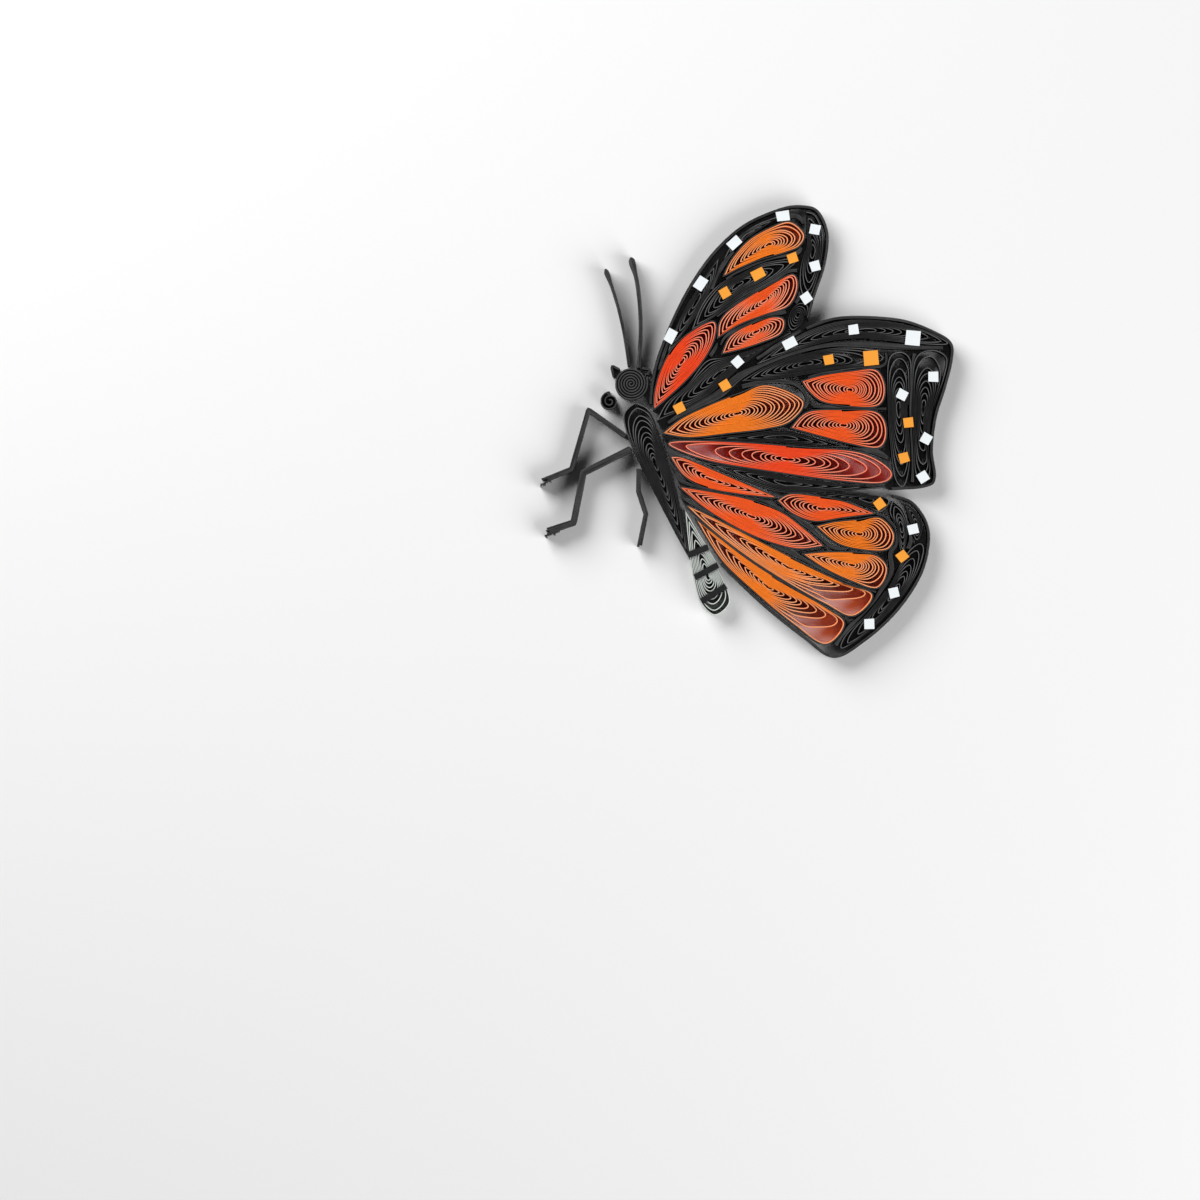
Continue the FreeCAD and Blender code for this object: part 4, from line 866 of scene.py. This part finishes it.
def material_for(slot):
    """The material of one of the record's paper slots."""
    settings = paper()
    # Each paper: face colour, a pressed top edge a little paler, and an open top edge with a painted
    # highlight.
    if slot == "black_paper":
        black = tuple(settings.black)
        white = (1, 1, 1)
        return paper_material(slot, black, paler(black, 0.014, white), paler(black, 0.12, white), 0.4, 0.1)
    if slot == "pale_grey_paper":
        grey = tuple(settings.pale_grey)
        return paper_material(slot, grey, paler(grey, 0.1, (1, 1, 1)), paler(grey, 0.3, (1, 1, 1)), 0.08)
    if slot == "white_paper":
        white = tuple(settings.white)
        return paper_material(slot, white, white, white, 0.03)
    if slot == "light_orange_paper":
        light = tuple(settings.light_orange)
        return paper_material(slot, light, light, light, 0.05)
    colour = {"golden_orange_paper": settings.golden, "orange_paper": settings.orange,
              "red_orange_paper": settings.red_orange}[slot]
    colour = tuple(colour)
    return paper_material(slot, colour, paler(colour, 0.02), paler(colour, 0.33), 0.12, 0.15)


# The pieces, one function for each kind

CELL_PAPERS = {
    "far_tip_coil": "golden_orange_paper", "near_large_coil": "golden_orange_paper",
    "hind_outer_coil": "golden_orange_paper", "hind_middle_coil": "golden_orange_paper",
    "hind_inner_coil": "golden_orange_paper", "hind_long_coil": "golden_orange_paper",
    "far_root_coil": "red_orange_paper", "near_long_coil": "red_orange_paper",
}


def make_cells(coils):
    """Roll the coloured coils of one wing."""
    inset = CELL_MARGIN - WRAP_WALL - WRAP_GAP
    for label, form in coils.items():
        strips = StripMesh()
        roll_coil(strips, form, label, inset, paper().strip_wall, paper().height_play)
        slot = CELL_PAPERS.get(label, "orange_paper")
        strips.piece(label.replace("_coil", "_turns"), material_for(slot), [label], slot)


def make_wraps(wing, coils):
    """Lay a black strip round each coloured coil of one wing."""
    strips = StripMesh()
    for label, form in coils.items():
        cell = offset_outline(coil_outline(form, label), CELL_MARGIN)
        inner = offset_outline(cell, -WRAP_WALL)
        dip = random.Random(label).uniform(0, paper().height_play)
        # The wrap's top edge gets a fixed share of painted highlight.
        strips.add(cell, inner, STRIP_TOP - dip, 0.3, closed=True)
    strips.piece(wing + "_wraps", material_for("black_paper"), [wing + "_wrap_strips"], "black_paper")


def make_fillers(fillers):
    """Roll the black coils that fill one wing."""
    for label, form in fillers.items():
        strips = StripMesh()
        roll_coil(strips, form, label, 0.0, paper().black_wall, paper().height_play * 3)
        strips.piece(label.replace("_filler", "_filler_turns"), material_for("black_paper"),
                     [label], "black_paper")


def make_packing(wing, packing):
    """Fill the gaps between the cells of one wing with short glued strips."""
    strips = StripMesh()
    draw = random.Random(wing + "packing")
    for strip in packing.values():
        widths = np.array(strip["widths"]) * METRES_PER_PX
        rule = smooth_line(np.column_stack([plans(strip["line"]), widths]), closed=False)
        line, width = rule[:, :2], rule[:, 2]
        layers = max(1, round(float(widths.max()) / PACKING_LAYER))
        add_layers(strips, line, width, layers, draw, first=-width / 2)
    strips.piece(wing + "_packing_layers", material_for("black_paper"),
                 [wing + "_packing_strips"], "black_paper")


def make_edging(wing, edge):
    """Glue the layers of strip round one wing."""
    strips = StripMesh()
    draw = random.Random(wing)
    line = smooth_line(plans(edge), closed=False)
    add_layers(strips, line, EDGING_WALL, EDGING_LAYERS, draw, ragged=0.8 * MM)
    strips.piece(wing + "_edge_layers", material_for("black_paper"), [wing + "_edging"], "black_paper")


def make_squares(wing, colour, slot, places):
    """Lay the cut paper squares of one colour on one wing."""
    strips = StripMesh()
    draw = random.Random(wing + colour)
    for place, turn, kind in places:
        length, breadth = SQUARE_SIDES[kind]
        middle = plans([place])[0]
        angle = math.radians(turn)
        along = np.array([math.cos(angle), math.sin(angle)]) * length / 2
        across = np.array([-math.sin(angle), math.cos(angle)]) * breadth / 2
        corners = [middle - along - across, middle + along - across,
                   middle + along + across, middle - along + across]
        corners = [corner + np.array([draw.uniform(-1, 1), draw.uniform(-1, 1)]) * CUT_PLAY
                   for corner in corners]
        strips.add_sheet(corners, STRIP_TOP, SQUARE_TOP, SQUARE_CURL)
    strips.piece("%s_%s_cut_squares" % (wing, colour), material_for(slot),
                 ["%s_%s_squares" % (wing, colour)], slot)


def make_body():
    """Roll the thorax and the abdomen, and lay the three bands over the abdomen."""
    for label, slot in (("thorax_coil", "black_paper"), ("abdomen_coil", "pale_grey_paper")):
        strips = StripMesh()
        roll_coil(strips, BODY_COILS[label], label, 0.0, paper().body_wall, paper().height_play)
        strips.piece(label.replace("_coil", "_turns"), material_for(slot), [label], slot)
    for number, (start, end) in enumerate(ABDOMEN_BANDS, start=1):
        first, last = plans([start, end])
        side = right_of(unit(last - first)) * BAND_WIDTH / 2
        strips = StripMesh()
        strips.add_sheet([first + side, last + side, last - side, first - side],
                         STRIP_TOP, SQUARE_TOP, BAND_CURL, steps=6)
        strips.piece("abdomen_band_paper_%d" % number, material_for("black_paper"),
                     ["abdomen_band_%d" % number], "black_paper")


def spiral(strips, middle, radii, angles, wall, draw):
    """A strip wound in a plain spiral about a middle."""
    ways = np.stack([np.cos(angles), np.sin(angles)], 1)
    places = np.linspace(angles.min(), angles.max(), 15)
    dips = np.interp(angles, places, [draw.uniform(0, 1) for _ in places])
    strips.add(middle + ways * radii[:, None], middle + ways * (radii - wall)[:, None],
               STRIP_TOP - paper().height_play * dips, SPIRAL_EDGE_HIGHLIGHT)


def head_middle():
    seat = plans([HEAD_SEAT])[0]
    return seat + np.array([0, SEAT_GAP + HEAD_RADIUS])


def make_head():
    """Roll the head, the tongue and the palp on the face."""
    middle = head_middle()
    draw = random.Random("head")
    strips = StripMesh()
    steps = HEAD_TURNS * HEAD_STEPS
    share = np.arange(steps + 1) / steps
    angles = HEAD_START + 2 * math.pi * HEAD_TURNS * share
    radii = HEAD_RADIUS * (HEAD_EYE + (1 - HEAD_EYE) * share)
    spiral(strips, middle, radii, angles, HEAD_WALL, draw)
    strips.piece("head_turns", material_for("black_paper"), ["head_coil"], "black_paper")
    direction = math.radians(TONGUE_DEGREES)
    way = np.array([math.cos(direction), math.sin(direction)])
    scroll = middle + (HEAD_RADIUS + SEAT_GAP + TONGUE_RADIUS) * way
    share = np.linspace(0, 1, TONGUE_STEPS)
    strips = StripMesh()
    radii = TONGUE_RADIUS * (1 - TONGUE_TAPER * share)
    angles = math.pi / 2 + 2 * math.pi * TONGUE_TURNS * share
    spiral(strips, scroll, radii, angles, TONGUE_WALL, draw)
    strips.piece("tongue_scroll", material_for("black_paper"), ["proboscis_scroll"], "black_paper")
    strips = StripMesh()
    for degrees, reach in PALPS:
        turn = math.radians(degrees)
        base = [middle + (HEAD_RADIUS + PALP_SINK) * np.array([math.cos(turn + side), math.sin(turn + side)])
                for side in (-PALP_HALF_ANGLE, PALP_HALF_ANGLE)]
        lean = turn - PALP_LEAN
        tip = middle + (HEAD_RADIUS + reach) * np.array([math.cos(lean), math.sin(lean)])
        line = smooth_line(np.array([base[0], tip, base[1]]), corners={1}, closed=False, spacing=0.1 * MM)
        add_layers(strips, line, PALP_WALL, 2, draw)
    strips.piece("face_palps", material_for("black_paper"), ["face_palp"], "black_paper")


def make_antennae():
    """Glue up the two antennae, each thickened to a club at its end."""
    middle = head_middle()
    for label, (points, stem, club) in ANTENNAE.items():
        line = plans(points)
        foot = unit(line[0] - middle)
        line = line + middle + foot * (HEAD_RADIUS + SEAT_GAP) - line[0]
        end = unit(line[-1] - line[-2])
        line = np.concatenate([line, [line[-1] + end * club / 3]])
        line = smooth_line(line, closed=False, spacing=0.2 * MM)
        length = np.concatenate([[0], np.cumsum(np.linalg.norm(np.diff(line, axis=0), axis=1))])
        near_end = (length[-1] - length) / MM
        width = stem + (club - stem) * np.exp(-((near_end - CLUB_PLACE) / CLUB_LENGTH) ** 2)
        width = width * np.sqrt(np.clip(near_end / CLUB_ROUNDING + 0.12, 0, 1))
        draw = random.Random(label)
        strips = StripMesh()
        add_layers(strips, line, width, 2, draw, first=-width / 2)
        strips.piece(label + "_layers", material_for("black_paper"), [label], "black_paper")


def make_legs():
    """Fold and glue up the three legs, with torn feet on the two longer ones."""
    for label, (points, wall, fringe) in LEGS.items():
        draw = random.Random(label)
        strips = StripMesh()
        corners = set(range(len(points)))
        line = smooth_line(plans(points), corners, closed=False, spacing=0.3 * MM)
        add_layers(strips, line, wall, LEG_LAYERS, draw, ragged=0.9 * MM, first=-wall / 2)
        foot, way = line[-1], unit(line[-1] - line[-8])
        for number in range(fringe):
            start = foot - way * (FIBRE_SPACING * number) + right_of(way) * (-wall * 0.45)
            lean = draw.uniform(0.2, 0.9)
            tip = start + (way * lean - right_of(way) * 0.9) * draw.uniform(0.25, 0.65) * MM
            line_out = np.array([start, (start + tip) / 2 + way * 0.05 * MM, tip])
            add_layers(strips, line_out, np.array([0.2, 0.14, 0.05]) * MM, 1, draw)
        strips.piece(label + "_layers", material_for("black_paper"), [label], "black_paper")


def make_stage():
    """Put down a pale floor, soft lights and a camera that looks straight down."""
    settings = stage_settings()
    scene = bpy.context.scene
    mesh = bpy.data.meshes.new("floor")
    half = settings.floor_side / 2
    mesh.from_pydata([(-half, -half, 0), (half, -half, 0), (half, half, 0), (-half, half, 0)],
                     [], [(0, 1, 2, 3)])
    floor = bpy.data.objects.new("floor", mesh)
    scene.collection.objects.link(floor)
    material = bpy.data.materials.new("floor_card")
    material.use_nodes = True
    shader = material.node_tree.nodes["Principled BSDF"]
    shader.inputs["Base Color"].default_value = (*settings.floor_colour, 1)
    shader.inputs["Roughness"].default_value = 0.9
    mesh.materials.append(material)
    world = bpy.data.worlds.new("studio")
    scene.world = world
    world.use_nodes = True
    background = world.node_tree.nodes["Background"]
    background.inputs["Color"].default_value = (1, 1, 1, 1)
    background.inputs["Strength"].default_value = settings.fill_strength
    add_light("key", KEY_PLACE, settings.key_watts)
    add_light("side", SIDE_PLACE, settings.side_watts)
    camera_data = bpy.data.cameras.new("camera")
    camera = bpy.data.objects.new("camera", camera_data)
    scene.collection.objects.link(camera)
    camera_data.lens = settings.lens
    camera_data.sensor_width = 36
    photo_side = PHOTO_SIDE_PX * METRES_PER_PX
    reach = photo_side * camera_data.lens / camera_data.sensor_width
    middle = plan((PHOTO_SIDE_PX / 2, PHOTO_SIDE_PX / 2))
    camera.location = (middle[0], middle[1], STRIP_TOP + reach)
    camera_data.clip_end = 10
    scene.camera = camera
    scene.view_settings.view_transform = "Standard"


def add_light(name, place, watts):
    data = bpy.data.lights.new(name, "AREA")
    data.energy = watts
    data.size = LIGHT_SIDE
    light = bpy.data.objects.new(name, data)
    bpy.context.scene.collection.objects.link(light)
    light.location = place
    light.rotation_euler = (-Vector(place)).to_track_quat("-Z", "Y").to_euler()


def colour_property(name, description, default):
    return FloatVectorProperty(name=name, description=description, subtype="COLOR", size=3,
                               min=0, max=1, default=default)


class ButterflyPaper(bpy.types.PropertyGroup):
    """Sizes and dyes of the paper strips."""

    strip_wall: FloatProperty(name="Coil strip", description="Thickness of a coloured strip",
                              default=0.15 * MM, unit="LENGTH", precision=5)
    black_wall: FloatProperty(name="Filler strip", description="Thickness of a black strip",
                              default=0.12 * MM, unit="LENGTH", precision=5)
    body_wall: FloatProperty(name="Body strip", description="Thickness of the body's strips",
                             default=0.13 * MM, unit="LENGTH", precision=5)
    height_play: FloatProperty(name="Uneven tops", description="How far a turn may sit below the rest",
                               default=0.05 * MM, unit="LENGTH", precision=5)
    golden: colour_property("Golden orange", "The brightest wing cells", (0.93, 0.195, 0.004))
    orange: colour_property("Orange", "The middle wing cells", (0.92, 0.088, 0.003))
    red_orange: colour_property("Red orange", "The deepest wing cells", (0.90, 0.050, 0.002))
    pale_grey: colour_property("Pale grey", "The abdomen", (0.52, 0.56, 0.52))
    white: colour_property("White", "The white squares", (0.86, 0.9, 0.92))
    light_orange: colour_property("Light orange", "The orange squares", (0.93, 0.36, 0.035))
    black: colour_property("Black", "Fillers, edging, body and legs", (0.004, 0.004, 0.005))


class ButterflyStage(bpy.types.PropertyGroup):
    """The floor, the lights and the camera."""

    floor_colour: colour_property("Floor", "The plain card under the butterfly", (0.9, 0.9, 0.9))
    floor_side: FloatProperty(name="Floor side", description="Side of the floor",
                              default=1.2, unit="LENGTH")
    fill_strength: FloatProperty(name="Fill", description="Strength of the even light", default=0.05)
    key_watts: FloatProperty(name="Key light", description="Power of the light from the upper left",
                             default=3.6, unit="POWER")
    side_watts: FloatProperty(name="Side light", description="Power of the light from the lower right",
                              default=2.1, unit="POWER")
    lens: FloatProperty(name="Lens", description="Focal length of the camera in millimetres",
                        default=150.0, subtype="DISTANCE_CAMERA")


WINGS = {
    "far_forewing": (FAR_FOREWING_COILS, FAR_FOREWING_FILLERS, FAR_FOREWING_EDGE,
                     FAR_FOREWING_PACKING, FAR_FOREWING_WHITE, FAR_FOREWING_GOLD),
    "near_forewing": (NEAR_FOREWING_COILS, NEAR_FOREWING_FILLERS, NEAR_FOREWING_EDGE,
                      NEAR_FOREWING_PACKING, NEAR_FOREWING_WHITE, NEAR_FOREWING_GOLD),
    "hindwing": (HINDWING_COILS, HINDWING_FILLERS, HINDWING_EDGE,
                 HINDWING_PACKING, HINDWING_WHITE, HINDWING_GOLD),
}


class BUTTERFLY_OT_cells(bpy.types.Operator):
    """Roll the coloured coils of the three wings"""
    bl_idname = "butterfly.cells"
    bl_label = "Roll the coloured cells"

    def execute(self, context):
        for coils, *_ in WINGS.values():
            make_cells(coils)
        return {"FINISHED"}


class BUTTERFLY_OT_wraps(bpy.types.Operator):
    """Lay a black strip round every coloured coil"""
    bl_idname = "butterfly.wraps"
    bl_label = "Wrap the cells"

    def execute(self, context):
        for wing, (coils, *_) in WINGS.items():
            make_wraps(wing, coils)
        return {"FINISHED"}


class BUTTERFLY_OT_fillers(bpy.types.Operator):
    """Roll the black coils between the cells"""
    bl_idname = "butterfly.fillers"
    bl_label = "Roll the black fillers"

    def execute(self, context):
        for _, fillers, *_ in WINGS.values():
            make_fillers(fillers)
        return {"FINISHED"}


class BUTTERFLY_OT_packing(bpy.types.Operator):
    """Pack short black strips into the gaps between the cells"""
    bl_idname = "butterfly.packing"
    bl_label = "Pack the gaps"

    def execute(self, context):
        for wing, (_, _, _, packing, *_) in WINGS.items():
            make_packing(wing, packing)
        return {"FINISHED"}


class BUTTERFLY_OT_edging(bpy.types.Operator):
    """Glue the layered edging round each wing"""
    bl_idname = "butterfly.edging"
    bl_label = "Edge the wings"

    def execute(self, context):
        for wing, (_, _, edge, *_) in WINGS.items():
            make_edging(wing, edge)
        return {"FINISHED"}


class BUTTERFLY_OT_squares(bpy.types.Operator):
    """Lay the white and the orange squares on the wings"""
    bl_idname = "butterfly.squares"
    bl_label = "Lay the squares"

    def execute(self, context):
        for wing, (*_, white, gold) in WINGS.items():
            make_squares(wing, "white", "white_paper", white)
            make_squares(wing, "gold", "light_orange_paper", gold)
        return {"FINISHED"}


class BUTTERFLY_OT_body(bpy.types.Operator):
    """Roll the thorax and the abdomen with its bands"""
    bl_idname = "butterfly.body"
    bl_label = "Roll the body"

    def execute(self, context):
        make_body()
        return {"FINISHED"}


class BUTTERFLY_OT_head(bpy.types.Operator):
    """Roll the head and its tongue, and pinch the palps"""
    bl_idname = "butterfly.head"
    bl_label = "Roll the head"

    def execute(self, context):
        make_head()
        return {"FINISHED"}


class BUTTERFLY_OT_antennae(bpy.types.Operator):
    """Glue up the two antennae"""
    bl_idname = "butterfly.antennae"
    bl_label = "Glue the antennae"

    def execute(self, context):
        make_antennae()
        return {"FINISHED"}


class BUTTERFLY_OT_legs(bpy.types.Operator):
    """Fold the three legs"""
    bl_idname = "butterfly.legs"
    bl_label = "Fold the legs"

    def execute(self, context):
        make_legs()
        return {"FINISHED"}


class BUTTERFLY_OT_stage(bpy.types.Operator):
    """Put down the floor, the lights and the camera"""
    bl_idname = "butterfly.stage"
    bl_label = "Set the stage"

    def execute(self, context):
        make_stage()
        return {"FINISHED"}


OPERATORS = (BUTTERFLY_OT_stage, BUTTERFLY_OT_cells, BUTTERFLY_OT_wraps, BUTTERFLY_OT_fillers,
             BUTTERFLY_OT_packing, BUTTERFLY_OT_edging, BUTTERFLY_OT_squares, BUTTERFLY_OT_body,
             BUTTERFLY_OT_head, BUTTERFLY_OT_antennae, BUTTERFLY_OT_legs)


class BUTTERFLY_PT_panel(bpy.types.Panel):
    """Lists the steps and the settings of the butterfly"""
    bl_idname = "BUTTERFLY_PT_panel"
    bl_label = "Quilled Butterfly"
    bl_space_type = "VIEW_3D"
    bl_region_type = "UI"
    bl_category = "Butterfly"

    def draw(self, context):
        for operator in OPERATORS:
            self.layout.operator(operator.bl_idname)
        for settings in (context.scene.butterfly_paper, context.scene.butterfly_stage):
            for name in settings.bl_rna.properties.keys():
                if name not in ("rna_type", "name"):
                    self.layout.prop(settings, name)


CLASSES = (ButterflyPaper, ButterflyStage, *OPERATORS, BUTTERFLY_PT_panel)


def register():
    for cls in CLASSES:
        bpy.utils.register_class(cls)
    bpy.types.Scene.butterfly_paper = PointerProperty(type=ButterflyPaper)
    bpy.types.Scene.butterfly_stage = PointerProperty(type=ButterflyStage)


def unregister():
    del bpy.types.Scene.butterfly_stage
    del bpy.types.Scene.butterfly_paper
    for cls in reversed(CLASSES):
        bpy.utils.unregister_class(cls)


def main():
    register()
    bpy.ops.butterfly.stage()
    bpy.ops.butterfly.cells()
    bpy.ops.butterfly.wraps()
    bpy.ops.butterfly.fillers()
    bpy.ops.butterfly.packing()
    bpy.ops.butterfly.edging()
    bpy.ops.butterfly.squares()
    bpy.ops.butterfly.body()
    bpy.ops.butterfly.head()
    bpy.ops.butterfly.antennae()
    bpy.ops.butterfly.legs()


if __name__ == "__main__":
    main()
